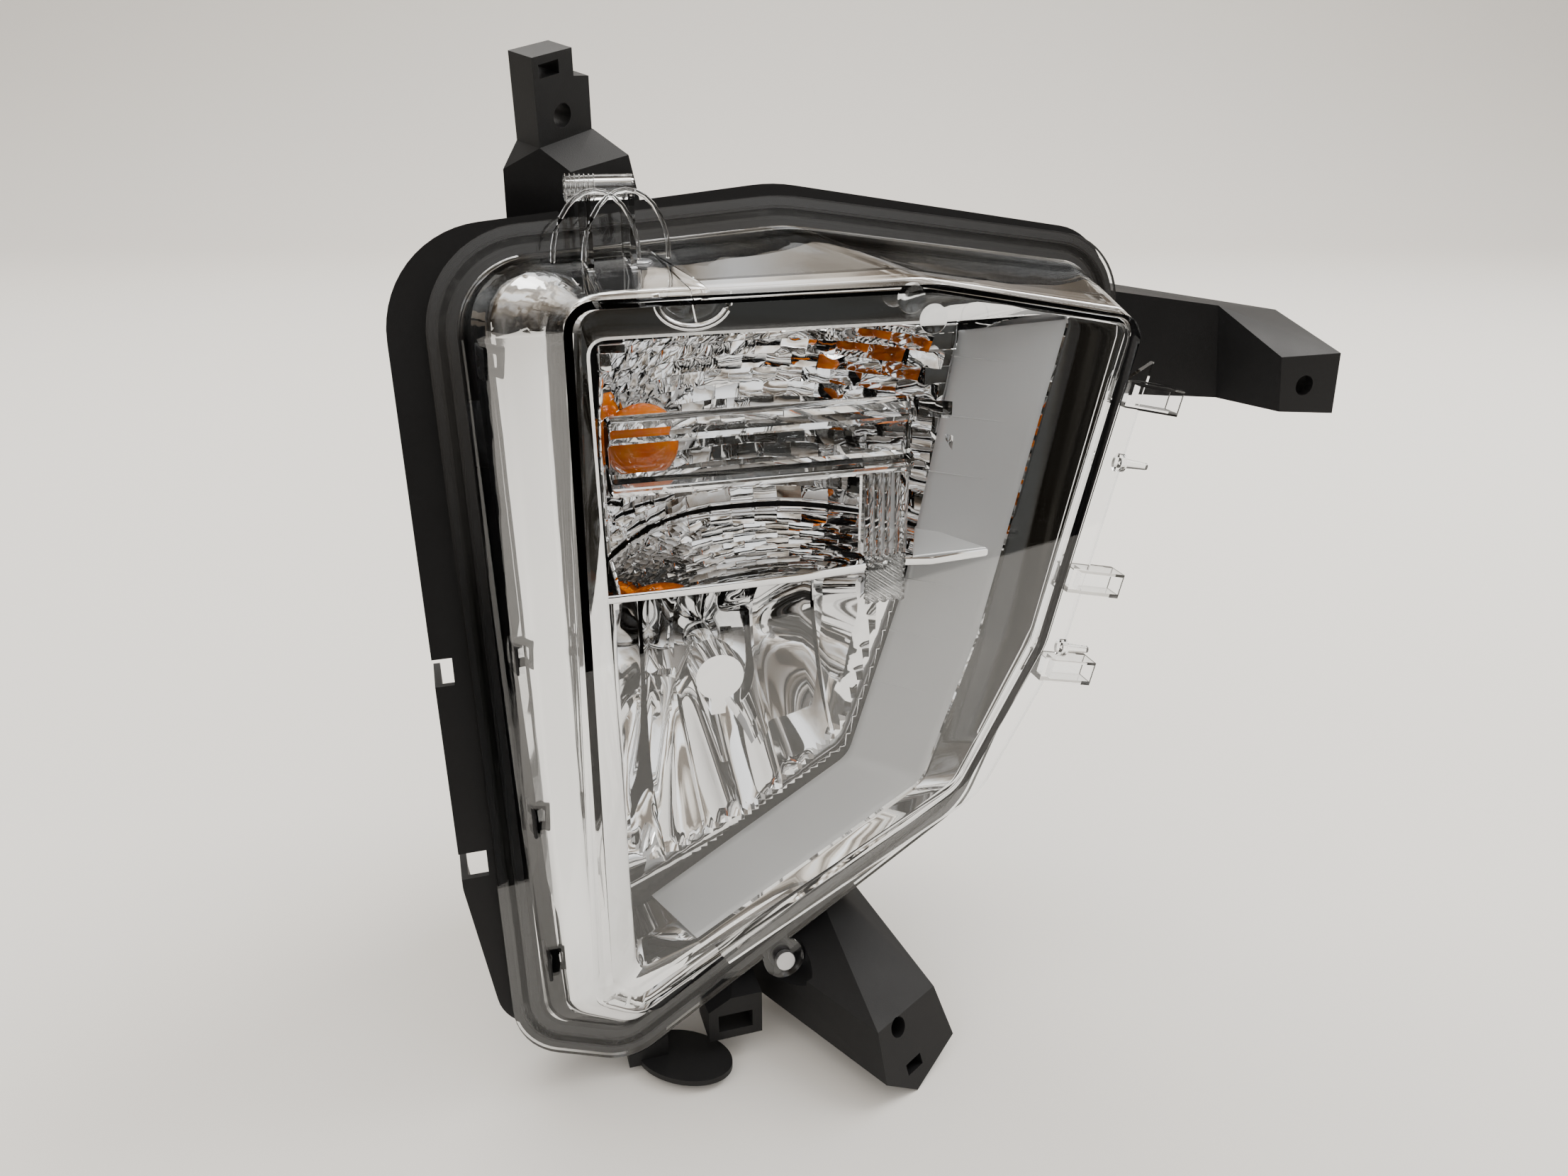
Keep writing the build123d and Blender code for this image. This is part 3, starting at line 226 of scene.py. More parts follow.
def surface_group(name, inputs, outputs):
    """A shader node group with named sockets; returns its tree and its two end nodes."""
    group = bpy.data.node_groups.new(name, "ShaderNodeTree")
    for socket, kind, value in inputs:
        made = group.interface.new_socket(socket, in_out="INPUT", socket_type=kind)
        made.default_value = value
    for socket, kind in outputs:
        group.interface.new_socket(socket, in_out="OUTPUT", socket_type=kind)
    return group, group.nodes.new("NodeGroupInput"), group.nodes.new("NodeGroupOutput")


# Fine moulded grain: a mottled colour, uneven gloss and a fine height.
grain, grain_in, grain_out = surface_group(
    "moulded_grain",
    [("Colour", "NodeSocketColor", (0.02, 0.02, 0.02, 1)),
     ("Light Colour", "NodeSocketColor", (0.04, 0.04, 0.04, 1)),
     ("Grain Scale", "NodeSocketFloat", 2500.0),
     ("Gloss Low", "NodeSocketFloat", 0.35),
     ("Gloss High", "NodeSocketFloat", 0.55)],
    [("Colour", "NodeSocketColor"), ("Roughness", "NodeSocketFloat"),
     ("Height", "NodeSocketFloat")],
)
where = grain.nodes.new("ShaderNodeTexCoord")
fine = grain.nodes.new("ShaderNodeTexNoise")
broad = grain.nodes.new("ShaderNodeTexNoise")
tone = grain.nodes.new("ShaderNodeMix")
tone.data_type = "RGBA"
gloss = grain.nodes.new("ShaderNodeMapRange")
broad.inputs["Scale"].default_value = 45.0
broad.inputs["Detail"].default_value = 6.0
fine.inputs["Detail"].default_value = 3.0
grain.links.new(where.outputs["Object"], fine.inputs["Vector"])
grain.links.new(where.outputs["Object"], broad.inputs["Vector"])
grain.links.new(grain_in.outputs["Grain Scale"], fine.inputs["Scale"])
grain.links.new(broad.outputs["Fac"], tone.inputs["Factor"])
grain.links.new(grain_in.outputs["Colour"], tone.inputs["A"])
grain.links.new(grain_in.outputs["Light Colour"], tone.inputs["B"])
grain.links.new(broad.outputs["Fac"], gloss.inputs["Value"])
grain.links.new(grain_in.outputs["Gloss Low"], gloss.inputs["To Min"])
grain.links.new(grain_in.outputs["Gloss High"], gloss.inputs["To Max"])
grain.links.new(tone.outputs["Result"], grain_out.inputs["Colour"])
grain.links.new(gloss.outputs["Result"], grain_out.inputs["Roughness"])
grain.links.new(fine.outputs["Fac"], grain_out.inputs["Height"])


def grained(name, colour, light_colour, scale, gloss_range, bump, metallic=0.0):
    """A finish with fine grain: moulded plastic, rubber, plated metal or a metallised skin."""
    material, nodes, links, output = new_material(name)
    shader = nodes.new("ShaderNodeBsdfPrincipled")
    shader.inputs["Metallic"].default_value = metallic
    shader.inputs["Specular IOR Level"].default_value = 0.28
    look = nodes.new("ShaderNodeGroup")
    look.node_tree = grain
    look.inputs["Colour"].default_value = (*colour, 1)
    look.inputs["Light Colour"].default_value = (*light_colour, 1)
    look.inputs["Grain Scale"].default_value = scale
    look.inputs["Gloss Low"].default_value, look.inputs["Gloss High"].default_value = gloss_range
    relief = nodes.new("ShaderNodeBump")
    relief.inputs["Strength"].default_value = bump
    relief.inputs["Distance"].default_value = 0.0002
    links.new(look.outputs["Colour"], shader.inputs["Base Color"])
    links.new(look.outputs["Roughness"], shader.inputs["Roughness"])
    links.new(look.outputs["Height"], relief.inputs["Height"])
    links.new(relief.outputs["Normal"], shader.inputs["Normal"])
    links.new(shader.outputs["BSDF"], output.inputs["Surface"])
    return material


housing_black = grained("housing_black", (0.005, 0.005, 0.0055), (0.010, 0.010, 0.011),
                        2600, (0.45, 0.62), 0.3)
BODIES = frame["record"]["behaviour"]["bodies"]
BODY_OF = {node: body for body, members in BODIES.items() for node in members}
SLOT_OF = {part["node"]: part["material_slot"] for part in frame["record"]["subparts"]}


def fit_piece(piece, node, material, stands_for=True):
    """Gives a piece its finish and lets it move with a CAD node, or stand for that node."""
    piece.data.materials.clear()
    piece.data.materials.append(material)
    if stands_for:
        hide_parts(node)
    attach(piece, BODY_OF[node])
    return piece


# Edges sharper than this many degrees are rounded.
EDGE_ANGLE = 28


def rounded_copy(node, width, segments=2, flat_angle=1.0):
    """A copy of a CAD node with flat faces merged and its edges rounded."""
    mesh = frame["nodes"][node].data.copy()
    work = bmesh.new()
    work.from_mesh(mesh)
    bmesh.ops.remove_doubles(work, verts=work.verts, dist=1e-6)
    bmesh.ops.dissolve_limit(work, angle_limit=math.radians(flat_angle),
                             verts=work.verts, edges=work.edges)
    for face in work.faces:
        face.smooth = True
    work.to_mesh(mesh)
    work.free()
    piece = bpy.data.objects.new(node + "_rounded", mesh)
    bpy.context.scene.collection.objects.link(piece)
    bevel = piece.modifiers.new("rounded_edges", "BEVEL")
    bevel.width = width
    bevel.segments = segments
    bevel.limit_method = "ANGLE"
    bevel.angle_limit = math.radians(EDGE_ANGLE)
    smooth = piece.modifiers.new("even_shading", "WEIGHTED_NORMAL")
    smooth.keep_sharp = True
    return piece


fit_piece(rounded_copy("rear_housing", 0.0011), "rear_housing", housing_black)

# ------------------------------------------------------------------------- outer lens
# Clear hard-coated polycarbonate cover, 3 mm thick, glued into the housing's channel.
# Its flange, clip sockets, locating pins and tube are moulded with it in one piece.
clear_polycarbonate, nodes, links, output = new_material("clear_polycarbonate")
shader = nodes.new("ShaderNodeBsdfPrincipled")
shader.inputs["Base Color"].default_value = (0.985, 0.995, 1.0, 1)
shader.inputs["Transmission Weight"].default_value = 1.0
shader.inputs["IOR"].default_value = 1.5
scratches = nodes.new("ShaderNodeTexNoise")
scratches.inputs["Scale"].default_value = 60.0
scratches.inputs["Detail"].default_value = 5.0
haze = nodes.new("ShaderNodeMapRange")
haze.inputs["To Min"].default_value = 0.0
haze.inputs["To Max"].default_value = 0.02
flow = nodes.new("ShaderNodeTexNoise")
flow.inputs["Scale"].default_value = 35.0
ripple = nodes.new("ShaderNodeBump")
ripple.inputs["Strength"].default_value = 0.02
ripple.inputs["Distance"].default_value = 0.001
clear_way = nodes.new("ShaderNodeBsdfTransparent")
clear_way.inputs["Color"].default_value = (0.93, 0.95, 0.96, 1)
ray = nodes.new("ShaderNodeLightPath")
passing = nodes.new("ShaderNodeMixShader")
where = nodes.new("ShaderNodeTexCoord")
links.new(where.outputs["Object"], scratches.inputs["Vector"])
links.new(where.outputs["Object"], flow.inputs["Vector"])
links.new(scratches.outputs["Fac"], haze.inputs["Value"])
links.new(haze.outputs["Result"], shader.inputs["Roughness"])
links.new(flow.outputs["Fac"], ripple.inputs["Height"])
links.new(ripple.outputs["Normal"], shader.inputs["Normal"])
links.new(ray.outputs["Is Shadow Ray"], passing.inputs["Fac"])
links.new(shader.outputs["BSDF"], passing.inputs[1])
links.new(clear_way.outputs["BSDF"], passing.inputs[2])
links.new(passing.outputs["Shader"], output.inputs["Surface"])
fit_piece(rounded_copy("outer_lens", 0.0009, 3, 0.6), "outer_lens", clear_polycarbonate)

# ------------------------------------------------------------------------------ bezel
# Inner bezel of aluminised plastic: a broad bright panel and rounded rail at the left,
# a band round the opening and the mouth of the tunnel.  Screws hold it to the housing.


def make_piece(name, points, faces, crease=32.0):
    """A mesh object; faces that meet at more than the crease angle keep a crisp edge."""
    mesh = bpy.data.meshes.new(name)
    mesh.from_pydata([tuple(point) for point in points], [], faces)
    work = bmesh.new()
    work.from_mesh(mesh)
    bmesh.ops.remove_doubles(work, verts=work.verts, dist=2e-7)
    bmesh.ops.recalc_face_normals(work, faces=work.faces)
    for face in work.faces:
        face.smooth = True
    for edge in work.edges:
        if len(edge.link_faces) == 2 and edge.calc_face_angle(0) > math.radians(crease):
            edge.smooth = False
    work.to_mesh(mesh)
    work.free()
    made = bpy.data.objects.new(name, mesh)
    bpy.context.scene.collection.objects.link(made)
    return made


def skin(rows, closed=True, first=0):
    """Four-sided faces between rows of equal length, numbered from first."""
    count = len(rows[0])
    spans = count if closed else count - 1
    faces = []
    for i in range(len(rows) - 1):
        for j in range(spans):
            k = (j + 1) % count
            a, b = first + i * count, first + (i + 1) * count
            faces.append((a + j, a + k, b + k, b + j))
    return faces


def thicken(piece, thickness):
    """Gives a skin an even wall."""
    wall = piece.modifiers.new("wall", "SOLIDIFY")
    wall.thickness = thickness
    wall.offset = 0.0
    return piece


ARC_POINTS = 7
EDGE_POINTS = 9


def unit(x, z):
    length = math.hypot(x, z)
    return x / length, z / length


def ring(corners):
    """Points round an outline of (x, depth, z, corner radius), each corner rounded."""
    points = []
    starts_and_arcs = []
    count = len(corners)
    for i in range(count):
        (px, _, pz, _), (x, depth, z, radius) = corners[i - 1], corners[i]
        nx, _, nz, _ = corners[(i + 1) % count]
        ax, az = unit(px - x, pz - z)
        bx, bz = unit(nx - x, nz - z)
        half = math.acos(max(-1.0, min(1.0, ax * bx + az * bz))) / 2
        reach = min(radius / max(math.tan(half), 1e-6), 0.48 * math.hypot(px - x, pz - z),
                    0.48 * math.hypot(nx - x, nz - z))
        arc = []
        for step in range(ARC_POINTS):
            t = step / (ARC_POINTS - 1)
            u, v = (1 - t) ** 2, t ** 2
            arc.append((x + reach * (u * ax + v * bx), depth, z + reach * (u * az + v * bz)))
        starts_and_arcs.append(arc)
    for i, arc in enumerate(starts_and_arcs):
        points += arc
        end, start = arc[-1], starts_and_arcs[(i + 1) % count][0]
        for step in range(1, EDGE_POINTS):
            t = step / EDGE_POINTS
            points.append(tuple(end[k] + t * (start[k] - end[k]) for k in range(3)))
    return points


def inset(corners, distance):
    """The clockwise outline moved inwards by a distance."""
    moved = []
    count = len(corners)
    for i in range(count):
        (px, _, pz, _), (x, depth, z, radius) = corners[i - 1], corners[i]
        nx, _, nz, _ = corners[(i + 1) % count]
        ax, az = unit(x - px, z - pz)
        bx, bz = unit(nx - x, nz - z)
        share = distance / max(1 + ax * bx + az * bz, 0.2)
        moved.append((x + share * (az + bz), depth, z - share * (ax + bx),
                      max(radius - distance, 1.0)))
    return moved


# Corners of the lens wall's outside, clockwise from the upper left: x, z and radius at the
# lens face, then x, z and radius where the wall meets the housing.
LENS_WALL = (
    ((-68, 99, 10), (-98, 103, 28)), ((-27, 99, 2), (-30, 108, 2)),
    ((-21, 99, 2), (-24, 108.5, 2)), ((52, 99, 40), (20, 112, 60)),
    ((130, 84, 9), (152, 93, 16)), ((103, -36, 24), (112, -50, 34)),
    ((74, -92, 20), (78, -112, 26)), ((-58, -167, 9), (-62, -190, 14)),
    ((-70, -158, 7), (-95, -178, 14)),
)


JOINT_DEPTH = 50
JOINT_LEAN = 0.2


def joint_depth(z):
    """Depth of the leaning joint between lens and housing at a height."""
    return JOINT_DEPTH + JOINT_LEAN * z


def wall_outline(depths):
    """Outline of the lens wall with each corner at its own depth."""
    corners = []
    for ((fx, fz, fr), (rx, rz, rr)), depth in zip(LENS_WALL, depths):
        t = depth / joint_depth(rz)
        corners.append((fx + t * (rx - fx), depth, fz + t * (rz - fz), fr + t * (rr - fr)))
    return corners


def add_depths(outline, depths):
    return [(x, depth, z, radius) for (x, z, radius), depth in zip(outline, depths)]


# Depths of the bezel at each corner: its front crest, the rear edge of its outer wall, the
# edge of its opening and the end of its tunnel.
CREST_DEPTH = (9, 9, 9, 9, 10, 10, 9, 6.5, 6.5)
REAR_DEPTH = (61, 61, 21, 21, 26, 28, 22, 9.5, 10)
OPENING_DEPTH = (8.6, 8.6, 8.6, 8.6, 15, 18, 16, 9, 9)
TUNNEL_DEPTH = (42,) * 9
OPENING = ((-60, 86, 6), (-26, 86, 2), (-20, 86, 2), (50, 85.5, 10), (109, 85, 5), (84, -36, 24),
           (62, -98, 14), (-32, -148, 5), (-57, -156, 5))
TUNNEL_END = ((-54, 77, 6), (-26, 77, 2), (-20, 77, 2), (30, 77, 10), (80, 78, 5), (61, -26, 24),
              (40, -96, 14), (-44, -148, 5), (-53, -152, 4))


def between(a, b, share):
    """Depths a share of the way from one list to another."""
    return [p + share * (q - p) for p, q in zip(a, b)]


LEFT_CORNERS = (0, 7, 8)


def bezel_ring(share, gap, rail):
    """A ring of the bezel: its share of the way back, gap to the lens, and rail width."""
    corners = inset(wall_outline(between(CREST_DEPTH, REAR_DEPTH, share)), gap)
    return ring([(x + rail, depth, z, radius) if i in LEFT_CORNERS else (x, depth, z, radius)
                 for i, (x, depth, z, radius) in enumerate(corners)])


# Rings of the outer wall from its rear edge to its crest: share, gap and rail width.  The
# rail makes the wall hollow at the left, so the panel flares out towards the housing.
WALL_RINGS = (
    (1.0, 3.5, 0.0), (0.8, 3.5, 3.6), (0.6, 3.5, 7.0), (0.5, 3.5, 8.4),
    (0.42, 3.5, 9.0), (0.32, 3.5, 8.8), (0.20, 3.6, 7.6), (0.10, 3.6, 6.4),
    (0.05, 3.6, 5.6), (0.02, 3.8, 5.2), (0.0, 4.5, 5.2), (0.006, 5.3, 5.2),
)
# Rings of the rolled lip round the opening: depth behind its edge, and inset.
LIP_RINGS = ((0.0, -0.9), (0.4, -0.2), (1.4, 0.0), (2.4, -1.8))
TUNNEL_INSET = -2.2
bezel_rows = [bezel_ring(share, gap, rail) for share, gap, rail in WALL_RINGS]
for behind, distance in LIP_RINGS:
    lip = add_depths(OPENING, [depth + behind for depth in OPENING_DEPTH])
    bezel_rows.append(ring(inset(lip, distance)))
bezel_rows.append(ring(inset(add_depths(TUNNEL_END, TUNNEL_DEPTH), TUNNEL_INSET)))
bezel = make_piece("bezel_skin", [lamp(*p) for row in bezel_rows for p in row], skin(bezel_rows))
mirror = grained("mirror_metallised", (0.90, 0.90, 0.91), (0.94, 0.94, 0.94),
                 900, (0.015, 0.04), 0.006, 1.0)
fit_piece(thicken(bezel, 0.0012), "bezel", mirror)

# ------------------------------------------------------------------------- satin trim
# Satin-silver plastic wall along the right and the bottom of the opening, crossed by
# fine raised ribs.  It is pushed into the bezel's mouth.
TRIM_STEPS = 10
TRIM_SETBACK = 1.3
CORNER_POINTS = ARC_POINTS + EDGE_POINTS - 1
TRIM_START = 4 * CORNER_POINTS + 4
TRIM_END = 7 * CORNER_POINTS + ARC_POINTS - 2
trim_front = ring(add_depths(OPENING, [depth + TRIM_SETBACK for depth in OPENING_DEPTH]))
trim_front = [Vector(point) for point in trim_front[TRIM_START:TRIM_END]]
trim_rear = ring(add_depths(TUNNEL_END, TUNNEL_DEPTH))
trim_rear = [Vector(point) for point in trim_rear[TRIM_START:TRIM_END]]
trim_rows = [[front.lerp(rear, step / TRIM_STEPS) for front, rear in zip(trim_front, trim_rear)]
             for step in range(TRIM_STEPS + 1)]
trim = make_piece("trim_skin", [lamp(*p) for row in trim_rows for p in row],
                  skin(trim_rows, closed=False))
satin = grained("satin_metallised", (0.78, 0.78, 0.785), (0.82, 0.82, 0.825),
                1800, (0.34, 0.42), 0.10, 0.25)
fit_piece(thicken(trim, 0.0009), "satin_trim", satin)
RIB_HEIGHTS = (66, 44.5, 23, -20, -41.5, -63)
RIB_REACH = 0.80
RIB_WIDTH = 0.55
RIB_RISE = 0.9


def on_trim(line, height):
    """The point of a trim edge line at a height."""
    for a, b in zip(line, line[1:]):
        if a.z >= height >= b.z:
            return a.lerp(b, (a.z - height) / max(a.z - b.z, 1e-9))
    return line[-1]


rib_points, rib_faces = [], []
for height in RIB_HEIGHTS:
    rear_end = on_trim(trim_rear, height)
    front_end = on_trim(trim_front, height)
    lift = Vector((front_end.y - rear_end.y, rear_end.x - front_end.x, 0)).normalized()
    if lift.y > 0:
        lift = -lift
    first = len(rib_points)
    for step in range(TRIM_STEPS + 1):
        t = RIB_REACH * step / TRIM_STEPS
        foot = rear_end.lerp(front_end, t)
        rise = RIB_RISE * (1 - 0.75 * (step / TRIM_STEPS) ** 3)
        crown = foot + lift * rise
        half_width = Vector((0, 0, RIB_WIDTH))
        rib_points += [foot + half_width, crown + Vector((0, 0, 0.1)), foot - half_width]
        if step:
            a = first + 3 * step
            rib_faces += [(a - 3, a - 2, a + 1, a), (a - 2, a - 1, a + 2, a + 1),
                          (a - 1, a - 3, a, a + 2)]
    last = len(rib_points) - 1
    rib_faces += [(first, first + 2, first + 1), (last - 2, last - 1, last)]
ribs = make_piece("trim_ribs", [lamp(*p) for p in rib_points], rib_faces)
fit_piece(ribs, "satin_trim", satin, stands_for=False)

# ---------------------------------------------------------------------- divider blade
# A bright metallised shelf between the two lamps.  Its front edge is thick and rounded
# and it runs out to a pointed fin at the right, lying against the satin trim.
# Its fin has a satin top.  Outlines are (across, depth); levels are (inset, height).
BLADE_OUTLINE = (
    (-53, 44), (-58.5, 11.5), (-30, 11), (10, 11.5), (40, 14.5), (46, 16.2), (60, 13.2), (83, 15),
    (72, 27), (68, 51), (62, 66), (48, 80), (30, 90), (8, 95), (-20, 86), (-40, 65),
)
BLADE_LEVELS = ((0.7, 0.0), (0.25, -0.12), (0.0, -0.5), (0.0, -2.3), (0.3, -3.0), (0.8, -3.3))


def shrink(outline, distance):
    """A closed outline of (x, y) points moved towards its inside."""
    moved = []
    count = len(outline)
    for i, (x, y) in enumerate(outline):
        last, following = outline[i - 1], outline[(i + 1) % count]
        ax, ay = unit(x - last[0], y - last[1])
        bx, by = unit(following[0] - x, following[1] - y)
        share = distance / max(1 + ax * bx + ay * by, 0.3)
        moved.append((x - share * (ay + by), y + share * (ax + bx)))
    return moved


def plate(name, outline, levels):
    """A closed plate; each level is how far in its outline lies and its height."""
    points, rows = [], []
    for inwards, height in levels:
        rows.append([(x, y, height) for x, y in shrink(outline, inwards)])
        points += rows[-1]
    faces = skin(rows)
    count = len(outline)
    faces += [tuple(range(count)), tuple(range(len(points) - count, len(points)))[::-1]]
    return make_piece(name, [lamp(*p) for p in points], faces)


FIN_OUTLINE = ((53, 14.9), (82.4, 15.3), (74, 33), (70, 46), (66, 44))
FIN_LEVELS = ((0.3, 0.45), (0.0, 0.2), (0.0, -0.2))
blade = plate("blade_plate", BLADE_OUTLINE, BLADE_LEVELS)
fit_piece(blade, "divider_blade", mirror)
fin_satin = grained("fin_satin", (0.93, 0.93, 0.93), (0.96, 0.96, 0.96),
                    1800, (0.28, 0.36), 0.06, 0.5)
fit_piece(plate("blade_fin", FIN_OUTLINE, FIN_LEVELS), "divider_blade", fin_satin, stands_for=False)

# --------------------------------------------------------------------- turn reflector
# Mirror bowl of the turn lamp, pressed into rows of small pillow-shaped facets set like
# brickwork, and steep at its right end.  It sits in the bezel behind the light guide.
FACET_WIDTH = 9.6
FACET_HEIGHT = 6.2
BOWL_LEFT, BOWL_RIGHT, BOWL_LOW, BOWL_HIGH = -53.0, 79.0, 0.3, 78.0
BOWL_DEEPEST = (8.0, 28.0)
BOWL_BACK = 95.0
SEAM = 0.22


BOWL_FRONT = 43.0
BOWL_SPREAD = (62, 52)
BOWL_RISE = (47, 22)
BOWL_POWER = 2.4
FACET_PARTS = 3
FACET_BULGE = 0.10
FACET_TILT = 0.07
FACET_SEED = 7
SLOPE_REACH = 1.2


def turn_bowl(x, z):
    """Depth of the turn bowl's smooth shape."""
    across = abs(x - BOWL_DEEPEST[0]) / BOWL_SPREAD[0]
    upwards = abs(z - BOWL_DEEPEST[1]) / BOWL_SPREAD[1]
    depth = BOWL_BACK - BOWL_RISE[0] * across ** BOWL_POWER - BOWL_RISE[1] * upwards ** BOWL_POWER
    return max(depth, BOWL_FRONT)


def facet_lines(low, high, size, parts):
    """Grid lines with a narrow seam at every facet edge; each is (place, facet number)."""
    lines = []
    number = 0
    start = low
    while start < high - 0.01:
        end = min(start + size, high)
        for step in range(parts + 1):
            place = start + (end - start) * step / parts
            if step == 0:
                place += SEAM / 2
            if step == parts:
                place -= SEAM / 2
            lines.append((place, number))
        number += 1
        start = end
    return lines


def slopes(shape, x, z):
    """Slopes of a shape across and upwards at a place."""
    reach = SLOPE_REACH
    across = (shape(x + reach, z) - shape(x - reach, z)) / (2 * reach)
    upwards = (shape(x, z + reach) - shape(x, z - reach)) / (2 * reach)
    return across, upwards


def facetted(name, shape, low, high):
    """A reflector of facets laid as brickwork: each follows the shape, bulged and tilted."""
    dice = random.Random(FACET_SEED)
    columns = facet_lines(low[0], high[0], FACET_WIDTH / 2, FACET_PARTS)
    rows = facet_lines(low[1], high[1], FACET_HEIGHT, FACET_PARTS + 1)
    tilts = {}
    grid = []
    for z, row in rows:
        line = []
        for x, half_number in columns:
            shift = row % 2
            column = (half_number + shift) // 2
            left = low[0] + (2 * column - shift) * FACET_WIDTH / 2
            middle_x = min(max(left + FACET_WIDTH / 2, low[0]), high[0])
            middle_z = min(low[1] + (row + 0.5) * FACET_HEIGHT, high[1])
            tilt = (dice.uniform(-FACET_TILT, FACET_TILT), dice.uniform(-FACET_TILT, FACET_TILT))
            lean = tilts.setdefault((row, column), tilt)
            slope_x, slope_z = slopes(shape, middle_x, middle_z)
            dx, dz = x - middle_x, z - middle_z
            u, v = 2 * dx / FACET_WIDTH, 2 * dz / FACET_HEIGHT
            depth = (shape(middle_x, middle_z) + (slope_x + lean[0]) * dx
                     + (slope_z + lean[1]) * dz + FACET_BULGE * (u * u + v * v) / 2)
            line.append((x, depth, z))
        grid.append(line)
    return make_piece(name, [lamp(*p) for line in grid for p in line],
                      skin(grid, closed=False), crease=7.0)


turn_mirror = facetted("turn_bowl", turn_bowl, (BOWL_LEFT, BOWL_LOW), (BOWL_RIGHT, BOWL_HIGH))
fit_piece(thicken(turn_mirror, 0.0008), "turn_reflector", mirror)

# -------------------------------------------------------------------------- turn bulb
# Amber wedge-type bulb in a grey holder that twists into the housing's left side.  The
# glass is a round envelope with a pinched neck.
amber_glass, nodes, links, output = new_material("amber_glass")
shader = nodes.new("ShaderNodeBsdfPrincipled")
shader.inputs["Transmission Weight"].default_value = 0.3
shader.inputs["IOR"].default_value = 1.45
streaks = nodes.new("ShaderNodeTexNoise")
streaks.inputs["Scale"].default_value = 180.0
streaks.inputs["Detail"].default_value = 2.0
lacquer = nodes.new("ShaderNodeValToRGB")
uneven = nodes.new("ShaderNodeMapRange")
uneven.inputs["To Min"].default_value = 0.04
uneven.inputs["To Max"].default_value = 0.12
where = nodes.new("ShaderNodeTexCoord")
set_tones(lacquer, ((0.3, (1.0, 0.18, 0.0)), (0.7, (1.0, 0.28, 0.004))))
links.new(where.outputs["Object"], streaks.inputs["Vector"])
links.new(streaks.outputs["Fac"], lacquer.inputs["Fac"])
links.new(streaks.outputs["Fac"], uneven.inputs["Value"])
links.new(lacquer.outputs["Color"], shader.inputs["Base Color"])
links.new(uneven.outputs["Result"], shader.inputs["Roughness"])
links.new(shader.outputs["BSDF"], output.inputs["Surface"])


def turned(name, start, axis, profile, sides=40, crease=30.0):
    """A round piece turned about an axis: profile is (distance along, radius) pairs."""
    start, axis = Vector(start), Vector(axis).normalized()
    first = axis.orthogonal().normalized()
    second = axis.cross(first)
    points, rows = [], []
    for along, radius in profile:
        row = []
        for step in range(sides):
            angle = 2 * math.pi * step / sides
            out = first * math.cos(angle) + second * math.sin(angle)
            row.append(start + axis * along + out * max(radius, 1e-4))
        rows.append(row)
        points += row
    faces = skin(rows)
    if profile[0] != profile[-1]:
        faces += [tuple(range(sides)), tuple(range(len(points) - sides, len(points)))[::-1]]
    return make_piece(name, [lamp(*p) for p in points], faces, crease)


TURN_BULB = (-36, 56, 40)
TURN_LEAN = math.radians(25)
TURN_AXIS = (-math.cos(TURN_LEAN), math.sin(TURN_LEAN), 0)
GLOBE_RADIUS = 13.25
NECK_RADIUS = 7.0
globe = [(-GLOBE_RADIUS, 0.0)]
for step in range(1, 17):
    angle = math.pi * step / 20
    globe.append((-GLOBE_RADIUS * math.cos(angle), GLOBE_RADIUS * math.sin(angle)))
globe += [(13.0, NECK_RADIUS + 0.6), (14.5, NECK_RADIUS), (18.25, NECK_RADIUS)]
fit_piece(turned("turn_globe", TURN_BULB, TURN_AXIS, globe), "turn_bulb_glass", amber_glass)

# ----------------------------------------------------------------------- light guide
# Thick clear acrylic strip of the position light: a horizontal bar with long prism
# steps, a fluted leg at its right end and a pad of slanting ribs at the leg's foot.
clear_acrylic = clear_polycarbonate.copy()
clear_acrylic.name = "clear_acrylic"
for node in clear_acrylic.node_tree.nodes:
    if node.type == "BSDF_PRINCIPLED":
        node.inputs["IOR"].default_value = 1.6
GUIDE_LEFT, GUIDE_RIGHT = -55.0, 50.5
GUIDE_PROFILE = ((13.2, 33.4), (11.4, 34.6), (10.8, 36.6), (11.6, 38.4), (14.6, 39.4), (15.8, 40.6),
                 (15.8, 50.4), (14.8, 51.4), (11.8, 52.2), (10.8, 54.0), (11.2, 56.6), (13.0, 58.4),
                 (17.0, 59.2), (21.4, 58.6), (22.6, 56.6), (22.6, 34.8), (21.4, 33.4), (17.0, 32.8))


def bar(name, profile, low, high, ends, steps=1):
    """A bar along X with a (depth, height) profile; ends tells how far its ends are rounded."""
    stations = [(low, ends), (low + 0.35 * ends, 0.35 * ends), (low + ends, 0.0)]
    stations += [(low + ends + (high - low - 2 * ends) * i / steps, 0.0) for i in range(1, steps)]
    stations += [(high - ends, 0.0), (high - 0.35 * ends, 0.35 * ends), (high, ends)]
    middle = (sum(p[0] for p in profile) / len(profile), sum(p[1] for p in profile) / len(profile))
    rows = []
    for x, shrinking in stations:
        row = []
        for depth, z in profile:
            out = Vector((middle[0] - depth, middle[1] - z))
            out = out * min(1.0, shrinking / max(out.length, 1e-6))
            row.append((x, depth + out.x, z + out.y))
        rows.append(row)
    points = [p for row in rows for p in row]
    count = len(profile)
    faces = skin(rows) + [tuple(range(count)), tuple(range(len(points) - count, len(points)))[::-1]]
    return make_piece(name, [lamp(*p) for p in points], faces, crease=20.0)


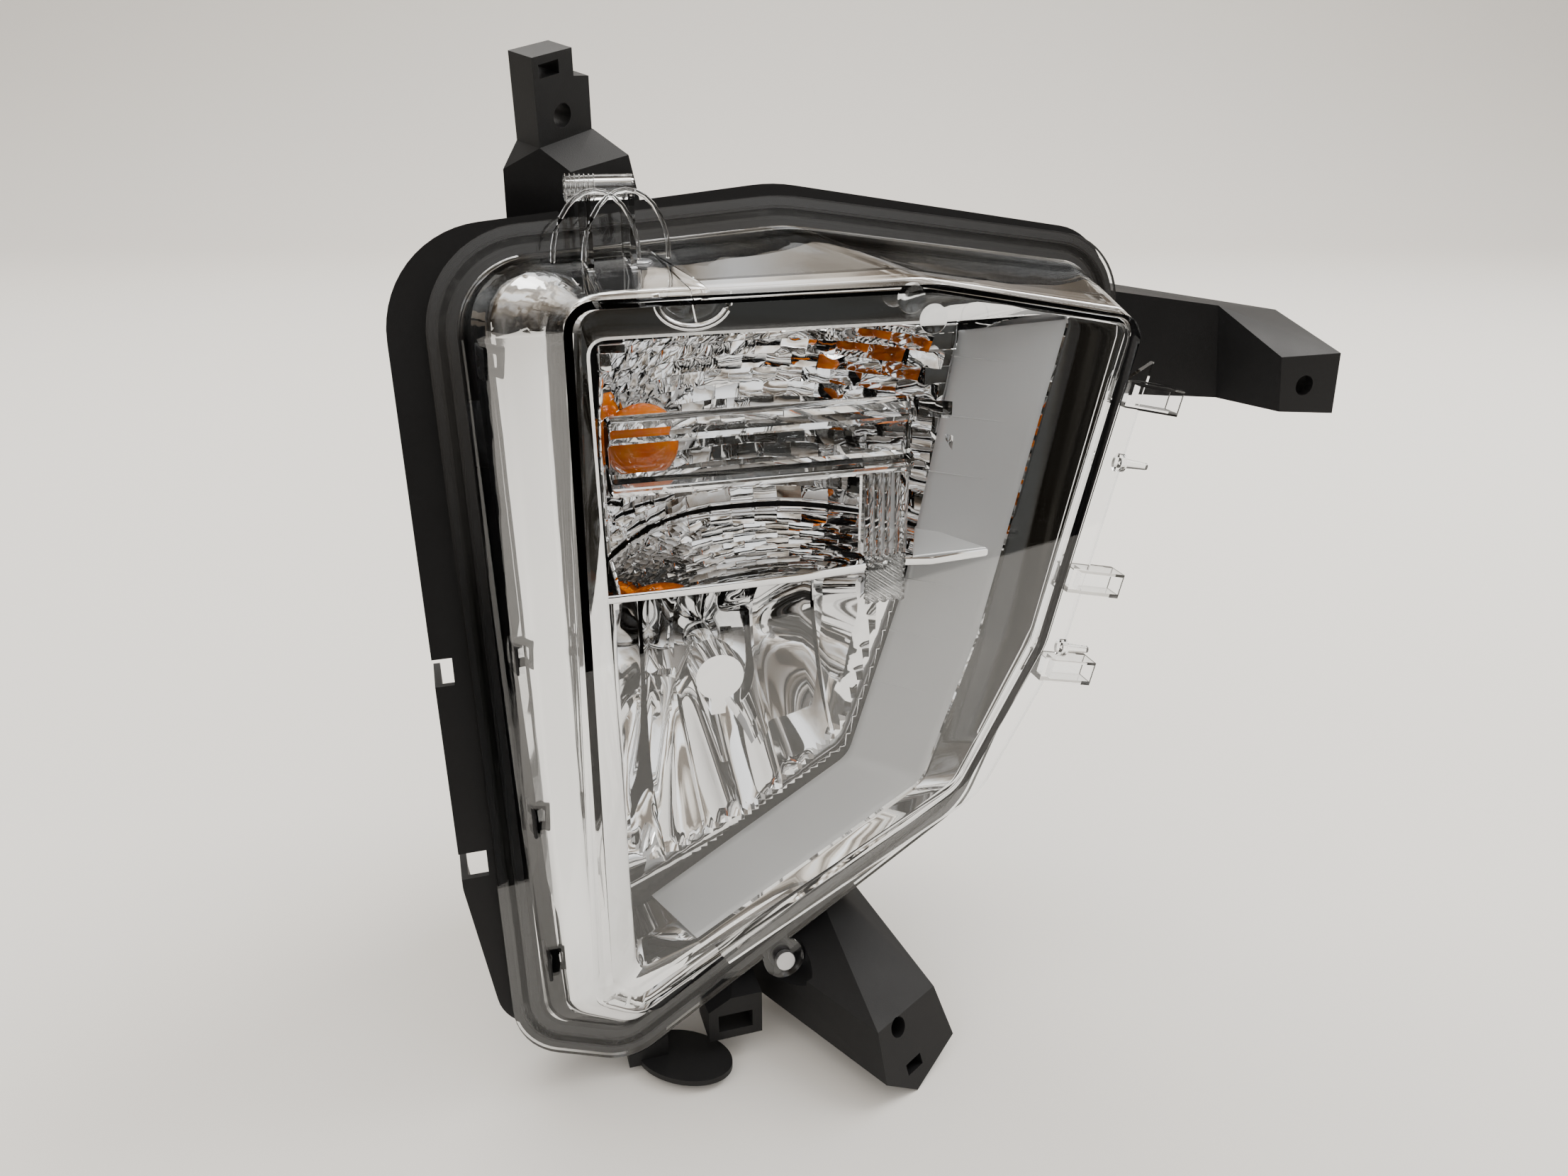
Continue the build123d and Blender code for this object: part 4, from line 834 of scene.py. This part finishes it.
guide_bar = bar("guide_bar", GUIDE_PROFILE, GUIDE_LEFT, GUIDE_RIGHT, 1.2)
fit_piece(guide_bar, "light_guide", clear_acrylic)
LEG_LEFT, LEG_RIGHT, LEG_LOW, LEG_HIGH = 34.0, 50.5, 2.5, 33.5
LEG_FLUTES = 5
leg_front = []
pitch = (LEG_RIGHT - LEG_LEFT) / LEG_FLUTES
for flute in range(LEG_FLUTES):
    for step in range(4):
        x = LEG_LEFT + pitch * (flute + step / 4)
        leg_front.append((x, 14.4 + 1.1 * (1 - math.sin(math.pi * step / 4))))
leg_front.append((LEG_RIGHT, 15.5))
leg_outline = leg_front + [
    (LEG_RIGHT, 21.0), (LEG_RIGHT - 1, 22.6), (LEG_LEFT + 1, 22.6), (LEG_LEFT, 21.0),
]
leg_rows = [[(x, y, z) for x, y in leg_outline] for z in (LEG_LOW, LEG_HIGH)]
count = len(leg_outline)
leg_faces = skin(leg_rows) + [tuple(range(count)), tuple(range(count, 2 * count))[::-1]]
leg = make_piece("guide_leg", [lamp(*p) for row in leg_rows for p in row], leg_faces, crease=25.0)
fit_piece(leg, "light_guide", clear_acrylic, stands_for=False)
PAD_LEFT, PAD_RIGHT, PAD_LOW, PAD_HIGH = 35.0, 49.5, -15.5, 2.0
PAD_DEPTH = 14.3
PAD_RIB_RISE = 0.8
PAD_RIB_PITCH = 2.4
PAD_RIB_SLANT = 0.75
PAD_STEPS = 64
pad_rows = []
for j in range(PAD_STEPS + 1):
    z = PAD_LOW + (PAD_HIGH - PAD_LOW) * j / PAD_STEPS
    row = []
    for i in range(PAD_STEPS + 1):
        x = PAD_LEFT + (PAD_RIGHT - PAD_LEFT) * i / PAD_STEPS
        wave = ((x - PAD_LEFT) * PAD_RIB_SLANT + (z - PAD_LOW)) / PAD_RIB_PITCH
        row.append((x, PAD_DEPTH + PAD_RIB_RISE * abs(2 * (wave - math.floor(wave)) - 1), z))
    pad_rows.append(row)
pad = make_piece("guide_pad", [lamp(*p) for row in pad_rows for p in row],
                 skin(pad_rows, closed=False))
fit_piece(thicken(pad, 0.002), "light_guide", clear_acrylic, stands_for=False)

# --------------------------------------------------------------------- main reflector
# Deep free-form mirror bowl of the main beam in upright strips, each curved its own
# way, on its own pivots so that it can be aimed.
MAIN_LOW, MAIN_HIGH = -152.0, -6.2
MAIN_BULB_X, MAIN_BULB_Z = -8.0, -64.0
STRIPS = (-53, -36, -20, -4, 14, 34, 61)
STRIP_LEANS = (0.26, -0.14, 0.10, -0.18, 0.22, -0.08)
STRIP_BULGES = (1.0, -1.6, 1.6, 2.2, -1.4, 2.0)
MAIN_EDGES = (
    ((-53, -152), (-53, -6.2)), ((-53, -6.2), (61, -6.2)), ((61, -6.2), (61, -26)),
    ((61, -26), (41, -96)), ((41, -96), (-44, -150)), ((-44, -150), (-53, -152)),
)


MAIN_BACK = 108
MAIN_SWEEP = 62


def main_bowl(x, z):
    """Depth of the main bowl's smooth shape: deepest at the bulb, shallow at its edges."""
    total = 0.0
    for (ax, az), (bx, bz) in MAIN_EDGES:
        out_x, out_z = unit(az - bz, bx - ax)
        whole = out_x * (ax - MAIN_BULB_X) + out_z * (az - MAIN_BULB_Z)
        share = (out_x * (x - MAIN_BULB_X) + out_z * (z - MAIN_BULB_Z)) / whole
        total += max(share, 0.0) ** 5
    return MAIN_BACK - MAIN_SWEEP * min(total ** 0.2, 1.2) ** 1.7


main_rows = []
MAIN_PARTS = 12
# Depth of the bowl's rim, set back further below so that the bowl clears the trim tilted.
RIM_DEPTH = 44.8
TILT_ROOM = 0.038
MAIN_ROWS = 72
for step in range(MAIN_ROWS + 1):
    z = MAIN_LOW + (MAIN_HIGH - MAIN_LOW) * step / MAIN_ROWS
    line = []
    for number, (left, right) in enumerate(zip(STRIPS, STRIPS[1:])):
        for part in range(MAIN_PARTS + 1):
            t = part / MAIN_PARTS
            x = left + (right - left) * t
            x += 0.1 if part == 0 else (-0.1 if part == MAIN_PARTS else 0)
            wave = math.sin((z - MAIN_LOW) / (19 + 4 * (number % 3)) + 2.1 * number)
            lean = STRIP_LEANS[number] * (1 + 0.3 * wave)
            depth = (main_bowl(x, z) + lean * (t - 0.5) * (right - left)
                     + STRIP_BULGES[number] * (2 * t - 1) ** 2 + 0.8 * wave)
            line.append((x, max(depth, RIM_DEPTH - TILT_ROOM * z), z))
    main_rows.append(line)
main_mirror = make_piece("main_bowl", [lamp(*p) for row in main_rows for p in row],
                         skin(main_rows, closed=False), crease=14.0)
MAIN_CUTS = (((61.5, -26.0), (41.5, -96.0)), ((41.5, -96.0), (-44.0, -150.5)))
work = bmesh.new()
work.from_mesh(main_mirror.data)
for (ax, az), (bx, bz) in MAIN_CUTS:
    across_x, across_z = unit(az - bz, bx - ax)
    bmesh.ops.bisect_plane(work, geom=work.verts[:] + work.edges[:] + work.faces[:], dist=1e-7,
                           plane_co=lamp(ax, 0, az), plane_no=(across_x, 0, across_z),
                           clear_outer=True)
work.to_mesh(main_mirror.data)
work.free()
fit_piece(thicken(main_mirror, 0.0008), "main_reflector", mirror)

# ----------------------------------------------------- sealant, screws, sockets, caps
# Small parts in their own finishes: butyl sealant, zinc-plated screws, nylon pivots,
# grey bulb holders, soft rubber caps and gaskets, nickelled contacts and a wire spring.
sealant = grained("sealant", (0.012, 0.012, 0.012), (0.02, 0.02, 0.02), 900, (0.3, 0.5), 0.4)
zinc = grained("zinc_screw", (0.55, 0.55, 0.57), (0.68, 0.68, 0.69), 1400, (0.22, 0.38), 0.12, 1.0)
brass = grained("nickel_brass", (0.66, 0.60, 0.50), (0.75, 0.70, 0.60), 1400, (0.2, 0.35), 0.1, 1.0)
spring_steel = grained("spring_steel", (0.55, 0.55, 0.56), (0.68, 0.68, 0.69),
                       2000, (0.2, 0.35), 0.1, 1.0)
nylon = grained("nylon_white", (0.72, 0.70, 0.64), (0.80, 0.78, 0.72), 1600, (0.35, 0.5), 0.12)
socket_grey = grained("socket_grey", (0.030, 0.030, 0.033), (0.05, 0.05, 0.054),
                      2200, (0.4, 0.55), 0.2)
rubber = grained("rubber_black", (0.010, 0.010, 0.010), (0.02, 0.02, 0.02), 1500, (0.5, 0.7), 0.25)
clear_glass = clear_polycarbonate.copy()
clear_glass.name = "clear_glass"
FINISHES = {
    "sealant": sealant, "zinc_screw": zinc, "nickel_brass": brass, "spring_steel": spring_steel,
    "nylon_white": nylon, "socket_grey": socket_grey, "rubber_black": rubber,
    "clear_glass": clear_glass, "mirror_metallised": mirror, "housing_black": housing_black,
    "satin_metallised": satin, "amber_glass": amber_glass,
}
ROUNDED = {
    "lens_screw": 0.0003, "bezel_screws": 0.0003, "turn_socket": 0.0006,
    "turn_socket_gasket": 0.0005,
    "dust_cap": 0.001, "dust_cap_seal": 0.0006, "vent_caps": 0.0006, "connector_header": 0.0006,
    "position_socket": 0.0005, "aim_nut": 0.0003, "aim_screw": 0.0003, "aim_socket": 0.0005,
    "pivot_sockets": 0.0005, "main_bulb_base": 0.0004, "bulb_shield": 0.0004,
}
for node, width in ROUNDED.items():
    fit_piece(rounded_copy(node, width), node, FINISHES[SLOT_OF[node]])
PLAIN = ("lens_seal", "turn_bulb_base", "main_bulb_glass", "main_bulb_terminals", "bulb_spring",
         "spring_hinge", "position_bulb", "pivot_studs", "connector_pins")
for node in PLAIN:
    fit = frame["nodes"][node]
    fit.data.materials.clear()
    fit.data.materials.append(FINISHES[SLOT_OF[node]])


# -------------------------------------------------------------- webs of locating tube
# Two arched webs of clear polycarbonate that carry the locating tube over the lens
# flange, and the ridges round the tube's end.  All are moulded with the lens.
TUBE_CENTRE = (-48, 48, 127)
ARCH_STEPS = 14
ARCH_HALF_SPAN = 14
ARCH_RISE = 22
ARCH_LEAN = 5
ARCH_SPREAD = 5.0
ARCH_RADIUS = 0.8


def closed_ends(rows):
    """Faces of a closed bar whose rows are its cross sections."""
    count = len(rows[0])
    total = count * len(rows)
    return skin(rows) + [tuple(range(count)), tuple(range(total - count, total))[::-1]]


def swept(name, path, radius, sides=10):
    """A round bar along a path of points, closed at both ends."""
    rows = []
    path = [Vector(point) for point in path]
    for i, here in enumerate(path):
        ahead = (path[min(i + 1, len(path) - 1)] - path[max(i - 1, 0)]).normalized()
        beside = Vector((0, 0, 1)) if abs(ahead.z) < 0.9 else Vector((1, 0, 0))
        first = ahead.cross(beside).normalized()
        second = ahead.cross(first)
        row = []
        for step in range(sides):
            angle = 2 * math.pi * step / sides
            row.append(here + (first * math.cos(angle) + second * math.sin(angle)) * radius)
        rows.append(row)
    points = [lamp(*p) for row in rows for p in row]
    return make_piece(name, points, closed_ends(rows), crease=50.0)


for side in (-1, 1):
    arch = []
    for step in range(ARCH_STEPS + 1):
        angle = math.pi * step / ARCH_STEPS
        arch.append((
            TUBE_CENTRE[0] + 2 + side * ARCH_SPREAD + ARCH_HALF_SPAN * math.cos(angle),
            TUBE_CENTRE[1] - 6 - ARCH_LEAN * math.sin(angle),
            TUBE_CENTRE[2] - ARCH_RISE + ARCH_RISE * math.sin(angle),
        ))
    web = swept("tube_arch", arch, ARCH_RADIUS)
    fit_piece(web, "outer_lens", clear_polycarbonate, stands_for=False)
RIDGES = 7
RIDGE_PITCH = 1.5
RIDGE_PROFILE = (
    (0.0, 4.05), (0.15, 4.5), (0.45, 4.5), (0.6, 4.05), (0.6, 3.9), (0.0, 3.9), (0.0, 4.05),
)
for number in range(RIDGES):
    start = (TUBE_CENTRE[0] - 11 + RIDGE_PITCH * number, TUBE_CENTRE[1], TUBE_CENTRE[2])
    ridge = turned("tube_ridge", start, (1, 0, 0), RIDGE_PROFILE, 28)
    fit_piece(ridge, "outer_lens", clear_polycarbonate, stands_for=False)

# -------------------------------------------------------------- marks on the lens face
# Shallow discs and rings of clear polycarbonate on the lens face, left by the gate and
# the ejector pins of the mould.
MARK_DEPTH = 0.16
DISC_PROFILE = ((0.02, 0.0), (0.02, 4.7), (0.10, 4.9), (0.13, 4.7))
RING_PROFILE = ((0.0, 4.5), (0.0, 4.9), (0.13, 4.9), (0.13, 4.5), (0.0, 4.5))
MARKS = (
    ("lens_disc", 50.5, 88.0, DISC_PROFILE, 40), ("lens_disc", 42.5, 95.0, DISC_PROFILE, 40),
    ("lens_ring", 56.0, 96.0, RING_PROFILE, 48), ("lens_ring", 65.0, 88.4, RING_PROFILE, 48),
)
for name, x, z, outline, sides in MARKS:
    mark = turned(name, (x, MARK_DEPTH, z), (0, -1, 0), outline, sides)
    fit_piece(mark, "outer_lens", clear_polycarbonate, stands_for=False)

# ------------------------------------------------------------------- bezel's crescent
# Half of a raised mirror-bright ring on the bezel's upper band, moulded with it.
CRESCENT_STEPS = 16
CRESCENT_CENTRE = (-27, 8.6, 96.2)
CRESCENT_REACH = (11.5, 8.0)
CRESCENT_RADIUS = 1.3
crescent = []
for step in range(CRESCENT_STEPS + 1):
    angle = math.pi + math.pi * step / CRESCENT_STEPS
    crescent.append((
        CRESCENT_CENTRE[0] + CRESCENT_REACH[0] * math.cos(angle),
        CRESCENT_CENTRE[1],
        CRESCENT_CENTRE[2] + CRESCENT_REACH[1] * math.sin(angle),
    ))
half_ring = swept("bezel_crescent", crescent, CRESCENT_RADIUS, 12)
fit_piece(half_ring, "bezel", mirror, stands_for=False)

# --------------------------------------------------------------------- bezel's hooks
# Black loops moulded with the housing, which catch the bezel along its left edge.
HOOK_HEIGHTS = (72, -30, -92, -150)
HOOK_SIZE = (13.0, 11.0, 1.4)
HOOK_WINDOW = (5.0, 4.5)
HOOK_PLACE = 0.84
HOOK_GAP = 4.3
FACE_LEFT = -68
WALL_FLARE = 30


def loop_plate(name, centre, size, window):
    """An upright plate of (depth, height, thickness) with a window of (depth, height)."""
    d, h, t = (value / 2 for value in size)
    wd, wh = window[0] / 2, window[1] / 2
    outer = [(-d, -h), (d, -h), (d, h), (-d, h)]
    inner = [(-wd, -wh), (wd, -wh), (wd, wh), (-wd, wh)]
    points, faces = [], []
    for side in (-t, t):
        for depth, z in outer + inner:
            points.append(lamp(centre[0] + side, centre[1] + depth, centre[2] + z))
    for k in range(4):
        n = (k + 1) % 4
        faces += [(k, n, 4 + n, 4 + k), (8 + k, 12 + k, 12 + n, 8 + n),
                  (k, 8 + k, 8 + n, n), (4 + k, 4 + n, 12 + n, 12 + k)]
    return make_piece(name, points, faces, crease=30.0)


def round_edges(piece, width):
    """Rounds every sharp edge of a small piece."""
    bevel = piece.modifiers.new("rounded_edges", "BEVEL")
    bevel.width = width
    bevel.segments = 2
    return piece


for z in HOOK_HEIGHTS:
    depth = joint_depth(z) * HOOK_PLACE
    x = FACE_LEFT - WALL_FLARE * (depth / joint_depth(z)) + HOOK_GAP
    hook = round_edges(loop_plate("bezel_hook", (x, depth, z), HOOK_SIZE, HOOK_WINDOW), 0.0006)
    fit_piece(hook, "rear_housing", housing_black, stands_for=False)

# ------------------------------------------------------------- bezel's screw flange
# Mirror-bright tab at the upper left of the bezel, held down by a zinc pan-head screw.
FLANGE_THICKNESS = 1.4
FLANGE_CORNERS = (
    (-60, 26, 97.5), (-62, 54, 100.6), (-54, 61, 101.4),
    (-24, 61, 101.9), (-22, 58, 101.6), (-22, 26, 98.2),
)
HEAD_PLACE = (-36, 46, 100.4)
HEAD_PROFILE = (
    (0.0, 4.4), (1.2, 4.4), (2.0, 3.9), (2.6, 2.6), (2.7, 1.2), (1.5, 1.0), (1.4, 0.0),
)
flange_rows = [[(x, y, z - drop) for x, y, z in FLANGE_CORNERS] for drop in (0.0, FLANGE_THICKNESS)]
flange = make_piece("bezel_flange", [lamp(*p) for row in flange_rows for p in row],
                    closed_ends(flange_rows))
fit_piece(round_edges(flange, 0.0005), "bezel", mirror, stands_for=False)
head = turned("flange_screw", HEAD_PLACE, (0, 0, 1), HEAD_PROFILE, 32)
fit_piece(head, "bezel_screws", zinc, stands_for=False)
